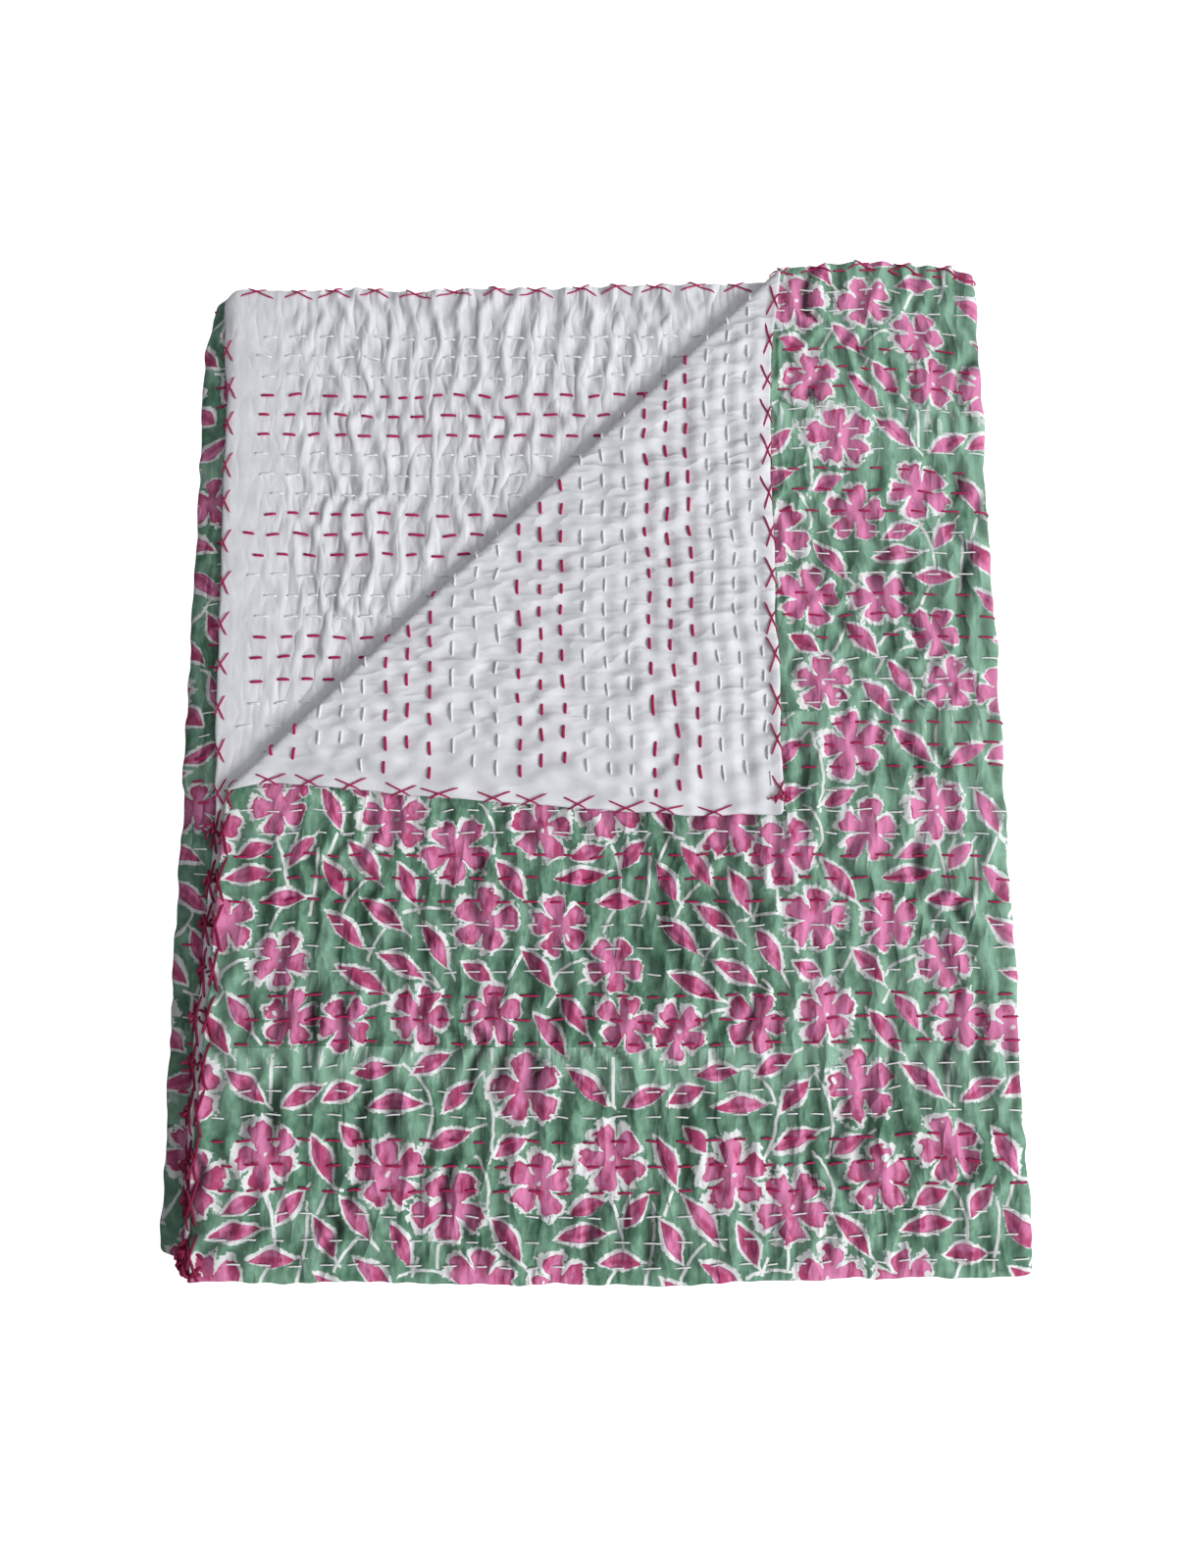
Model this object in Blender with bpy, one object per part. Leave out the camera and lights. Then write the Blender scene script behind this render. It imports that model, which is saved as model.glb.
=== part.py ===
"""Folded quilted bedspread.

Two cotton cloths, a printed face and a white back, are made flat with their puckers,
then folded together. The doubled quilt is folded in three panels, and one corner of the
top layer is turned back over a diagonal crease. Metres, Z up.
"""
import math

import bmesh
import bpy
import numpy as np

OBJECT_NAME = "folded_quilted_bedspread"

# Cloth
CLOTH_THICKNESS = 0.0010
CLOTH_GAP = 0.0004
LAYER_PITCH = 0.0040

# Outline of the folded pile, seen from above
SOUTH_Y = -0.2870
EAST_X = 0.2570
WEST_X = -0.2525
LAST_PANEL_END = 0.2360
FIRST_EDGE_X = -0.2378

# North edges of the upper and the lower half: distance along the quilt, place northward
NORTH_UPPER = (
    (-0.245, 0.3330),
    (0.124, 0.3432),
    (0.245, 0.3480),
    (0.420, 0.3340),
    (0.760, 0.3260),
    (1.300, 0.3250),
)
NORTH_LOWER = (
    (-0.245, 0.3300),
    (0.124, 0.3360),
    (0.245, 0.3380),
    (0.420, 0.3310),
    (0.760, 0.3290),
    (1.300, 0.3250),
)

# West edges of the upper and the lower half: place northward, place eastward
WEST_UPPER = ((-0.287, -0.2296), (0.0, -0.2183), (0.333, -0.2378))
WEST_LOWER = ((-0.287, -0.2306), (0.0, -0.2276), (0.259, -0.2378), (0.330, -0.2450))
EDGE_EASE_END = -0.1200

# Northward slip of the lower panels: distance along the quilt, slip
PANEL_SLIP = ((0.25, 0.0), (0.76, 0.011), (1.24, 0.004))

# Diagonal crease, from the west edge to the north edge
CREASE_START = (-0.2183, 0.0000)
CREASE_END = (0.1236, 0.3432)
CREASE_RADIUS = 0.0028
CREASE_STEPS = 4

# Puckers
PUCKER_HEIGHT = 0.0022
PUCKER_COUNT = 29
PUCKER_STEPS = 4
PUCKER_LEAST = 0.55
UNEVEN_ALONG = 1.9
UNEVEN_ACROSS = 1.3
PUCKER_FADE = 0.022
PUCKER_CLEAR = 0.006
EDGE_FADE = 0.016

# Spacing of the points
SIDE_ROWS = 6
SOUTH_TURN_STEPS = 4
PANEL_TURN_STEPS = 6
FLAT_PANEL_COLUMNS = 3
POINT_SNAP = 0.0003

# Colours
PRINT_GREEN = (0.105, 0.290, 0.165, 1.0)
BACK_WHITE = (0.800, 0.805, 0.830, 1.0)
CLOTH_ROUGHNESS = 0.9

HALF_PITCH = LAYER_PITCH / 2
OUTER_LIFT = CLOTH_GAP / 2 + CLOTH_THICKNESS
TURN_RADIUS = LAYER_PITCH
TURN_LENGTH = math.pi * TURN_RADIUS
HALF_TURN_LENGTH = math.pi * HALF_PITCH / 2
OUTER_TURN = TURN_RADIUS + HALF_PITCH + OUTER_LIFT
EAST_CENTRE = EAST_X - OUTER_TURN
WEST_CENTRE = WEST_X + OUTER_TURN
SOUTH_CENTRE = SOUTH_Y + HALF_PITCH + OUTER_LIFT
TOP_PANEL_Z = 4 * LAYER_PITCH + HALF_PITCH + OUTER_LIFT

SECOND_START = EAST_CENTRE + TURN_LENGTH
SECOND_END = SECOND_START + EAST_CENTRE - WEST_CENTRE
THIRD_START = SECOND_END + TURN_LENGTH
THIRD_END = THIRD_START + LAST_PANEL_END - WEST_CENTRE


def from_table(value, table):
    """Straight-line value between the entries of a short table."""
    places, amounts = zip(*table)
    return float(np.interp(value, places, amounts))


def smooth(value, start, end):
    """Soft step from 0 at start to 1 at end."""
    share = min(1.0, max(0.0, (value - start) / (end - start)))
    return share * share * (3.0 - 2.0 * share)


def crease_frame():
    """Base point of the crease, its direction and the direction past it."""
    run = np.subtract(CREASE_END, CREASE_START)
    along = run / np.linalg.norm(run)
    past = np.array((-along[1], along[0]))
    base = np.array(CREASE_START) - past * (CREASE_RADIUS + OUTER_LIFT)
    return base, along, past


CREASE_BASE, CREASE_ALONG, CREASE_PAST = crease_frame()


def column_places():
    """Places of the grid's columns along the quilt, from panel to panel."""
    first = np.linspace(FIRST_EDGE_X, EAST_CENTRE, PUCKER_COUNT * PUCKER_STEPS + 1)
    east_turn = np.linspace(EAST_CENTRE, SECOND_START, PANEL_TURN_STEPS + 1)
    second = np.linspace(SECOND_START, SECOND_END, FLAT_PANEL_COLUMNS + 1)
    west_turn = np.linspace(SECOND_END, THIRD_START, PANEL_TURN_STEPS + 1)
    third = np.linspace(THIRD_START, THIRD_END, FLAT_PANEL_COLUMNS + 1)
    return np.concatenate((first, east_turn[1:], second[1:], west_turn[1:], third[1:]))


def row_place(row, along):
    """Distance of a grid row from the south fold line, at one place along the quilt."""
    middle = SIDE_ROWS + SOUTH_TURN_STEPS / 2
    step = row - middle
    turn_steps = SOUTH_TURN_STEPS / 2
    if abs(step) <= turn_steps:
        return HALF_TURN_LENGTH * step / turn_steps
    table = NORTH_UPPER if step > 0 else NORTH_LOWER
    reach = from_table(along, table) - SOUTH_CENTRE - from_table(along, PANEL_SLIP)
    share = (abs(step) - turn_steps) / SIDE_ROWS
    return math.copysign(HALF_TURN_LENGTH + reach * share, step)


def ease_west_edge(along, across):
    """Shift a point of the first panel so that its west edge follows the true edge."""
    if along >= EDGE_EASE_END:
        return along
    place = SOUTH_CENTRE + abs(across) - HALF_TURN_LENGTH
    edge = from_table(place, WEST_UPPER if across > 0 else WEST_LOWER)
    share = (EDGE_EASE_END - along) / (EDGE_EASE_END - FIRST_EDGE_X)
    return along + (edge - FIRST_EDGE_X) * share


def pucker_height(column, row):
    """Raised height of a grid point: one ridge to a pucker, uneven as hand quilting is."""
    pucker, step = divmod(column, PUCKER_STEPS)
    if pucker >= PUCKER_COUNT:
        return 0.0
    ridge = 0.5 - 0.5 * math.cos(2 * math.pi * step / PUCKER_STEPS)
    uneven = 0.5 + 0.5 * math.sin(UNEVEN_ALONG * pucker) * math.sin(UNEVEN_ACROSS * row + pucker)
    return PUCKER_HEIGHT * ridge * (PUCKER_LEAST + (1 - PUCKER_LEAST) * uneven)


def flat_quilt():
    """Flat grid of the opened quilt, scored along the crease and cut in triangles."""
    columns = column_places()
    column_count = len(columns) - 1
    row_count = 2 * SIDE_ROWS + SOUTH_TURN_STEPS
    quilt = bmesh.new()
    bmesh.ops.create_grid(quilt, x_segments=column_count, y_segments=row_count, size=0.5)
    lift = quilt.verts.layers.float.new("pucker")
    for point in quilt.verts:
        column = round((point.co.x + 0.5) * column_count)
        row = round((point.co.y + 0.5) * row_count)
        along = columns[column]
        across = row_place(row, along)
        point[lift] = pucker_height(column, row)
        point.co = (ease_west_edge(along, across), across, 0.0)
    for step in range(CREASE_STEPS + 1):
        past = math.pi * CREASE_RADIUS * step / CREASE_STEPS
        place = CREASE_BASE + CREASE_PAST * past
        bmesh.ops.bisect_plane(
            quilt,
            geom=quilt.verts[:] + quilt.edges[:] + quilt.faces[:],
            dist=POINT_SNAP,
            plane_co=(place[0], place[1] - SOUTH_CENTRE + HALF_TURN_LENGTH, 0.0),
            plane_no=(CREASE_PAST[0], CREASE_PAST[1], 0.0),
        )
    bmesh.ops.triangulate(quilt, faces=quilt.faces[:])
    return quilt


def south_fold(across, lift):
    """Fold in half: place from south to north, and height above the doubled cloth's middle."""
    radius = HALF_PITCH + lift
    if abs(across) <= HALF_TURN_LENGTH:
        angle = across / HALF_PITCH
        return SOUTH_CENTRE - radius * math.cos(angle), radius * math.sin(angle)
    return SOUTH_CENTRE + abs(across) - HALF_TURN_LENGTH, math.copysign(radius, across)


def panel_fold(along, height):
    """Fold in three panels: place from west to east, and height in the pile."""
    if along <= EAST_CENTRE:
        return along, TOP_PANEL_Z + height
    if along <= SECOND_START:
        angle = (along - EAST_CENTRE) / TURN_RADIUS
        radius = TURN_RADIUS + height
        middle = TOP_PANEL_Z - TURN_RADIUS
        return EAST_CENTRE + radius * math.sin(angle), middle + radius * math.cos(angle)
    if along <= SECOND_END:
        return EAST_CENTRE - (along - SECOND_START), TOP_PANEL_Z - 2 * TURN_RADIUS - height
    if along <= THIRD_START:
        angle = (along - SECOND_END) / TURN_RADIUS
        radius = TURN_RADIUS - height
        middle = TOP_PANEL_Z - 3 * TURN_RADIUS
        return WEST_CENTRE - radius * math.sin(angle), middle + radius * math.cos(angle)
    return WEST_CENTRE + (along - THIRD_START), TOP_PANEL_Z - 4 * TURN_RADIUS + height


def turn_corner(place, height):
    """Turn the corner of the top layer back over the crease."""
    offset = np.subtract(place, CREASE_BASE)
    along = offset @ CREASE_ALONG
    past = offset @ CREASE_PAST
    if past <= 0.0:
        return place[0], place[1], height
    centre_z = TOP_PANEL_Z + HALF_PITCH + CREASE_RADIUS
    radius = centre_z - height
    angle = min(math.pi, past / CREASE_RADIUS)
    beyond = max(0.0, past - math.pi * CREASE_RADIUS)
    past_now = radius * math.sin(angle) - beyond
    flat = CREASE_BASE + CREASE_ALONG * along + CREASE_PAST * past_now
    return flat[0], flat[1], centre_z - radius * math.cos(angle)


def fold(along, across, lift, pucker):
    """Folded place of one point of the quilt."""
    place_y, height = south_fold(across, lift)
    place_x, place_z = panel_fold(along, height)
    place_y += from_table(along, PANEL_SLIP)
    if along >= EAST_CENTRE:
        return place_x, place_y, place_z
    past = np.subtract((place_x, place_y), CREASE_BASE) @ CREASE_PAST
    fade = smooth(EAST_CENTRE - along, 0.0, EDGE_FADE)
    fade *= smooth(abs(across), HALF_TURN_LENGTH, EDGE_FADE)
    if across < 0:
        clear = PUCKER_CLEAR + CREASE_RADIUS
        fade *= smooth(past, clear, clear + PUCKER_FADE)
        return place_x, place_y, place_z + pucker * fade
    turned = past - math.pi * CREASE_RADIUS
    fade *= smooth(-past if past < 0 else turned, 0.0, PUCKER_FADE)
    place_x, place_y, place_z = turn_corner((place_x, place_y), place_z)
    return place_x, place_y, place_z + pucker * fade


def cloth_material(name, colour):
    """Plain woven cotton in one colour."""
    material = bpy.data.materials.new(name)
    material.use_nodes = True
    shader = material.node_tree.nodes["Principled BSDF"]
    shader.inputs["Base Color"].default_value = colour
    shader.inputs["Roughness"].default_value = CLOTH_ROUGHNESS
    material.diffuse_color = colour
    return material


def folded_cloth(name, lowest, colour):
    """One cloth of the quilt: the flat grid given its thickness, then folded."""
    sheet = flat_quilt()
    lift_layer = sheet.verts.layers.float["pucker"]
    bmesh.ops.solidify(sheet, geom=sheet.faces[:], thickness=CLOTH_THICKNESS)
    base = min(point.co.z for point in sheet.verts)
    for point in sheet.verts:
        lift = lowest + point.co.z - base
        point.co = fold(point.co.x, point.co.y, lift, point[lift_layer])
    bmesh.ops.recalc_face_normals(sheet, faces=sheet.faces[:])
    mesh = bpy.data.meshes.new(name)
    sheet.to_mesh(mesh)
    sheet.free()
    mesh.materials.append(cloth_material(name + "_cotton", colour))
    return bpy.data.objects.new(name, mesh)


def centre_on_floor(parts):
    """Move the pile so that the middle of its underside is the origin."""
    points = np.array([point.co for part in parts for point in part.data.vertices])
    low = points.min(axis=0)
    high = points.max(axis=0)
    shift = np.array(((low[0] + high[0]) / 2, (low[1] + high[1]) / 2, low[2]))
    for part in parts:
        for point in part.data.vertices:
            point.co = np.subtract(point.co, shift)
    print("shift", shift.round(6).tolist(), "size", (high - low).round(5).tolist())


for leftover in list(bpy.data.objects):
    bpy.data.objects.remove(leftover, do_unlink=True)

collection = bpy.data.collections.new(OBJECT_NAME)
bpy.context.scene.collection.children.link(collection)
cloths = (
    folded_cloth("printed_face", CLOTH_GAP / 2, PRINT_GREEN),
    folded_cloth("white_back", -CLOTH_GAP / 2 - CLOTH_THICKNESS, BACK_WHITE),
)
centre_on_floor(cloths)
for cloth in cloths:
    collection.objects.link(cloth)
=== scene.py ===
# %% [markdown]
# # A hand-quilted bedspread, folded, with one corner turned back
# The real thing is two cotton cloths, one printed and one white, held together by rows of
# running stitch. It lies folded in a flat pile, seen almost from above.
# A cloth simulation could fold a sheet, but it would lose the places of the stitches. So
# every shape is drawn on the flat quilt and sent through one fold function. Cloth, print
# and thread all use it, and so they stay together.

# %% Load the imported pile
import math

import bpy
import numpy as np
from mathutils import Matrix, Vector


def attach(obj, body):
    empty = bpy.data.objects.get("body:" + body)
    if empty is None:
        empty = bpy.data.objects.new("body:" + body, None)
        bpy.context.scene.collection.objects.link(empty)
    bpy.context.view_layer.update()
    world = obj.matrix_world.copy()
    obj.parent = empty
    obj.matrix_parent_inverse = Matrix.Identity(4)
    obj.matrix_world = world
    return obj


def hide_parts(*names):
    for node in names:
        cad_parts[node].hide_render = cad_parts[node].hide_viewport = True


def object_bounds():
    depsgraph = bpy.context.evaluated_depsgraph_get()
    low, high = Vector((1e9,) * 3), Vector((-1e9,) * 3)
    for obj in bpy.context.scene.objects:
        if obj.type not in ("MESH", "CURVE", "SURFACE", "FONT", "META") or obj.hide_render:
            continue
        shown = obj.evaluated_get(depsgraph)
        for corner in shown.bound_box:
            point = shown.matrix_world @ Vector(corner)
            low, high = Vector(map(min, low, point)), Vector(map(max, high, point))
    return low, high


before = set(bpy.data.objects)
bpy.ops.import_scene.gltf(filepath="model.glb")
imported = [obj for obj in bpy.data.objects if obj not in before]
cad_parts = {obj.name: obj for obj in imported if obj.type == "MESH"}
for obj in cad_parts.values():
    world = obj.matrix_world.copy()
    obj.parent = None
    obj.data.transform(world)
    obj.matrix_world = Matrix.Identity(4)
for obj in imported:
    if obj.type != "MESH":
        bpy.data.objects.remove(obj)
cad_box = [list(corner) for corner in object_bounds()]
print("pile measures", np.subtract(cad_box[1], cad_box[0]).round(4), "metres")

# %% [markdown]
# ## Layers and folds
# The quilt is folded in half at the near edge, then back and forth in three panels. All
# sizes are in metres. `along` runs the length of the opened quilt through its panels, and
# `across` is the distance from the near fold: positive on the half that lies on top,
# negative on the half beneath it. Sizes could be typed in one by one, but here the arcs
# and heights follow from the spacing of the layers, so that the pile always closes.

# %% Sizes of the pile
HALF_CLOTH = 0.0012
LAYER_PITCH = 0.0040
HALF_PITCH = LAYER_PITCH / 2
SOUTH_Y = -0.2870
EAST_X = 0.2570
WEST_X = -0.2525
FIRST_EDGE_X = -0.2378
LAST_PANEL_END = 0.2360

TURN_RADIUS = LAYER_PITCH
TURN_LENGTH = math.pi * TURN_RADIUS
HALF_TURN = math.pi * HALF_PITCH / 2
OUTER_TURN = TURN_RADIUS + HALF_PITCH + HALF_CLOTH
EAST_CENTRE = EAST_X - OUTER_TURN
WEST_CENTRE = WEST_X + OUTER_TURN
SOUTH_CENTRE = SOUTH_Y + HALF_PITCH + HALF_CLOTH
TOP_PANEL_Z = 4 * LAYER_PITCH + HALF_PITCH + HALF_CLOTH
SECOND_START = EAST_CENTRE + TURN_LENGTH
SECOND_END = SECOND_START + EAST_CENTRE - WEST_CENTRE
THIRD_START = SECOND_END + TURN_LENGTH
THIRD_END = THIRD_START + LAST_PANEL_END - WEST_CENTRE
ORIGIN = np.array((EAST_X - cad_box[1][0], SOUTH_Y - cad_box[0][1], 0.0))
print("opened quilt is", round(THIRD_END - FIRST_EDGE_X, 3), "metres long")

# %% [markdown]
# ## The crease
# The far left corner of the top layer is turned back over a diagonal crease. Two points
# on the pile give its line, and a direction square to it says which way is past it. A
# bend modifier could roll the corner, but the fold needs this line in numbers anyway.

# %% Crease of the turned-back corner
CREASE_START = np.array((-0.2183, 0.0000))
CREASE_END = np.array((0.1236, 0.3432))
CREASE_RADIUS = 0.0028
ROLL_END = math.pi * CREASE_RADIUS
CREASE_ALONG = (CREASE_END - CREASE_START) / np.linalg.norm(CREASE_END - CREASE_START)
CREASE_PAST = np.array((-CREASE_ALONG[1], CREASE_ALONG[0]))
CREASE_BASE = CREASE_START - CREASE_PAST * (CREASE_RADIUS + HALF_CLOTH)


def past_crease(east, north):
    """Distance past the crease of a place seen from above."""
    return (east - CREASE_BASE[0]) * CREASE_PAST[0] + (north - CREASE_BASE[1]) * CREASE_PAST[1]


print("crease is", round(float(np.linalg.norm(CREASE_END - CREASE_START)), 3), "metres long")

# %% [markdown]
# ## Uneven, but the same on every run
# Handwork is never quite regular. Points could be jittered one by one, but that looks
# rough, so a smooth noise is used. A grain names one such noise: the spacing of its
# crests in x and in y, and its seed. A table says how a size changes from place to place,
# and a soft step lets a change begin and end without a kink.

# %% Noise, tables and soft steps
NOISE_CELLS = 128


def soft_step(value, start, end):
    share = np.clip((value - start) / (end - start), 0.0, 1.0)
    return share * share * (3.0 - 2.0 * share)


def table_value(value, table):
    places, amounts = zip(*table)
    return np.interp(value, places, amounts)


def waver(x, y, grain):
    """Smooth noise between -1 and 1. A grain is (spacing in x, spacing in y, seed)."""
    grid = np.random.default_rng(grain[2]).uniform(-1.0, 1.0, (NOISE_CELLS, NOISE_CELLS))
    x, y = np.broadcast_arrays(np.asarray(x, float) / grain[0], np.asarray(y, float) / grain[1])
    cell_x, cell_y = np.floor(x).astype(int), np.floor(y).astype(int)
    part_x, part_y = soft_step(x, cell_x, cell_x + 1), soft_step(y, cell_y, cell_y + 1)
    here_x, next_x = cell_x % NOISE_CELLS, (cell_x + 1) % NOISE_CELLS
    here_y, next_y = cell_y % NOISE_CELLS, (cell_y + 1) % NOISE_CELLS
    low = grid[here_x, here_y] * (1 - part_x) + grid[next_x, here_y] * part_x
    high = grid[here_x, next_y] * (1 - part_x) + grid[next_x, next_y] * part_x
    return low * (1 - part_y) + high * part_y


print("a quarter of the way, a soft step has reached", soft_step(0.25, 0.0, 1.0).round(3))

# %% [markdown]
# ## Drift of the cloth
# A real pile isn't square: layers slip, lean and bow by a few millimetres, and the turned
# corner is drawn in at its right edge. Left square, the pile would look like card. The
# larger bends come from tables, the small waves from noise. Layers that lie on each other
# drift alike, apart from that corner, so they don't cut through each other.

# %% Drift in plan
PANEL_SLIP = ((0.25, 0.0), (0.76, 0.011), (1.24, 0.004))
SOUTH_BOW = ((-0.24, -0.003), (-0.1, -0.004), (0.04, -0.0055), (0.12, -0.003), (0.2, 0.0))
NORTH_BOW = (
    (-0.23, 0.004), (-0.1, 0.001), (0.05, 0.003), (0.15, 0.0045), (0.2, 0.0040), (0.24, 0.0),
)
CORNER_DRAWN_IN = (
    (-0.210, 0.0), (-0.150, -0.001), (-0.079, -0.0030), (-0.035, -0.0055), (0.026, -0.0075),
    (0.070, -0.0065), (0.124, -0.0015), (0.150, 0.0),
)
BOW_END = 0.30
LOWER_LEAN = 0.008
STRIP_TAPER = 0.0075
STRIP_FADE = 0.050
EAST_WAVE, NORTH_WAVE = 0.0009, 0.0013
EAST_GRAIN, EAST_GRAIN_START = (0.017, 0.060, 71), 0.051
NORTH_GRAIN = (0.019, 0.050, 73)
TAPER_START, TAPER_END = 0.540, 0.620
CORNER_START, CORNER_END = 0.40, 0.66


def wander(along, across):
    """Sideways drift of the cloth in plan, east and north."""
    depth = np.abs(across)
    beside_strip = soft_step(along, SECOND_END - STRIP_FADE, SECOND_END)
    beside_strip = beside_strip * (1.0 - soft_step(along, THIRD_START, THIRD_START + STRIP_FADE))
    east = EAST_WAVE * waver(depth + EAST_GRAIN_START, along, EAST_GRAIN)
    east = east - LOWER_LEAN * depth * soft_step(along, SECOND_START, SECOND_END)
    east = east + STRIP_TAPER * beside_strip * soft_step(depth, TAPER_START, TAPER_END) ** 2
    north = NORTH_WAVE * waver(along, depth, NORTH_GRAIN)
    north = north + table_value(along, SOUTH_BOW) * (1.0 - soft_step(depth, 0.0, BOW_END))
    north = north + table_value(along, NORTH_BOW) * soft_step(depth, BOW_END, 2 * BOW_END)
    corner = soft_step(across, CORNER_START, CORNER_END)
    north = north + table_value(along, CORNER_DRAWN_IN) * corner
    return east, north


print("near edge drifts by", wander(0.0, 0.0)[1].round(4), "metres at its middle")

# %% [markdown]
# ## The fold function
# A flat point has a place along and across the quilt and a lift from its middle surface,
# positive toward the print. It is first wrapped round the near fold, then round the turns
# between the panels, and last, in the far left corner of the top layer, rolled back over
# the diagonal crease. Arcs and straight runs keep every length of the flat cloth. At the
# left, where the turns are pressed down, the whole pile sinks a little.

# %% Fold the flat quilt
WEST_SAG = 0.42
SAG_WIDTH = 0.0210


def round_near_fold(along, across, lift=0.0):
    """Place north and height once the quilt is folded in half."""
    turn = np.clip(across / HALF_PITCH, -math.pi / 2, math.pi / 2)
    radius = HALF_PITCH + lift
    north = SOUTH_CENTRE - radius * np.cos(turn) + np.maximum(np.abs(across) - HALF_TURN, 0.0)
    return north + table_value(along, PANEL_SLIP), radius * np.sin(turn)


def past_of(along, across):
    """Distance past the crease before the corner is turned back."""
    return past_crease(along, round_near_fold(along, across)[0])


def fold(along, across, lift):
    """Places on the pile of points on the flat quilt."""
    along, across, lift = np.broadcast_arrays(along, across, lift)
    north, height = round_near_fold(along, across, lift)
    first_turn = np.clip((along - EAST_CENTRE) / TURN_RADIUS, 0.0, math.pi)
    second_turn = np.clip((along - SECOND_END) / TURN_RADIUS, 0.0, math.pi)
    panels = [along <= EAST_CENTRE, along <= SECOND_START, along <= SECOND_END, along <= THIRD_START]
    east = np.select(panels, [
        along,
        EAST_CENTRE + (TURN_RADIUS + height) * np.sin(first_turn),
        EAST_CENTRE - (along - SECOND_START),
        WEST_CENTRE - (TURN_RADIUS - height) * np.sin(second_turn),
    ], WEST_CENTRE + (along - THIRD_START))
    up = np.select(panels, [
        TOP_PANEL_Z + height,
        TOP_PANEL_Z - TURN_RADIUS + (TURN_RADIUS + height) * np.cos(first_turn),
        TOP_PANEL_Z - 2 * TURN_RADIUS - height,
        TOP_PANEL_Z - 3 * TURN_RADIUS + (TURN_RADIUS - height) * np.cos(second_turn),
    ], TOP_PANEL_Z - 4 * TURN_RADIUS + height)

    drift_east, drift_north = wander(along, across)
    east, north = east + drift_east, north + drift_north
    past = past_crease(east, north)
    turned = (along <= EAST_CENTRE) & (across > HALF_TURN) & (past > 0.0)
    roll = np.clip(past / CREASE_RADIUS, 0.0, math.pi)
    roll_radius = CREASE_RADIUS - lift
    past_now = roll_radius * np.sin(roll) - np.maximum(past - ROLL_END, 0.0)
    shift = np.where(turned, past_now - past, 0.0)
    centre_z = TOP_PANEL_Z + HALF_PITCH + CREASE_RADIUS
    up = np.where(turned, centre_z - roll_radius * np.cos(roll), up)
    east, north = east + shift * CREASE_PAST[0], north + shift * CREASE_PAST[1]
    up = up * (1.0 - WEST_SAG * (1.0 - soft_step(east, WEST_X, WEST_X + SAG_WIDTH)))
    return np.stack((east, north, up), axis=-1) - ORIGIN


print("near right corner folds to", fold(EAST_CENTRE, 0.0, HALF_CLOTH).round(4))

# %% [markdown]
# ## Where the stitches fall
# Rows of running stitch lie in threes, set by eye. Each thread could be placed on its
# own, and the cloth shaped to it afterwards. Instead one phase field counts the stitches
# along every row. The puckers read it, and later the threads read it too, so that every
# thread lies in its own dip.

# %% Stitch phase and rows
STITCH_PITCH = 0.0166
SLOW_DRIFT, SLOW_GRAIN = 0.30, (0.050, 0.034, 3)
ROW_DRIFT, ROW_GRAIN = 0.46, (0.070, 0.0150, 5)
TRIPLE_NUMBERS = (-15, -13, -9, -1, 0, 15)
TRIPLE_PLACES = (-0.6109, -0.5297, -0.3673, -0.0173, 0.0238, 0.6403)
TRIPLES = range(-14, 16)


def stitch_phase(along, across):
    """Stitches counted along a row: whole numbers are stitches seen on the print."""
    drift = SLOW_DRIFT * waver(along, across, SLOW_GRAIN) + ROW_DRIFT * waver(along, across, ROW_GRAIN)
    return along / STITCH_PITCH + drift


def row_places():
    """Every stitch row as (place across, colour)."""
    for triple in TRIPLES:
        for third in (-1, 0, 1):
            place = np.interp(triple + third / 3, TRIPLE_NUMBERS, TRIPLE_PLACES)
            yield float(place), "pink" if triple % 2 else "white"


rows = list(row_places())
print(len(rows), "rows of stitch,", round((EAST_CENTRE - FIRST_EDGE_X) / STITCH_PITCH), "stitches a panel")

# %% [markdown]
# ## Where the puckers stand out
# Puckers are strong on the open top panel and weak where the pile presses the cloth flat:
# at the folds, under the turned corner and inside. On the white side they stand the other
# way. Weights could be painted on the mesh, but a formula stays right when a fold moves.

# %% Share of the puckers
PUCKERS_END = EAST_CENTRE + 0.6 * TURN_LENGTH
CREASE_EASE = 0.020
NEAR_FOLD_SHARE = 0.2
PRESSED_BY_CORNER = 0.35
PRESSED_BY_TURN = 0.7
CORNER_SHARE = 0.55
CORNER_EDGE_SHARE = 0.65
STRIP_SHARE = 0.7
BEND_SHARE = 0.4
NEAR_FOLD_WIDTH = 0.014
CORNER_WEST = (FIRST_EDGE_X, FIRST_EDGE_X + 0.015)
CORNER_NORTH = (0.325, 0.340)
CORNER_EDGE = (FIRST_EDGE_X + 0.003, FIRST_EDGE_X + 0.025)
CALM_EDGE = (FIRST_EDGE_X + 0.015, FIRST_EDGE_X + 0.085)
UNDER_CORNER = (0.006, 0.030)
MARGIN_SIDE, MARGIN_ENDS = (0.214, 0.226), (-0.010, 0.010)
STRIP_SIDE = (SECOND_END - 0.016, SECOND_END)


def under_turned_corner(east, north, past):
    """1 where the turned-back corner lies on top, 0 elsewhere."""
    mirror_east = east - 2 * past * CREASE_PAST[0]
    mirror_north = north - 2 * past * CREASE_PAST[1]
    inside_north = 1 - soft_step(mirror_north, *CORNER_NORTH)
    return soft_step(mirror_east, *CORNER_WEST) * inside_north * (past < 0)


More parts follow.
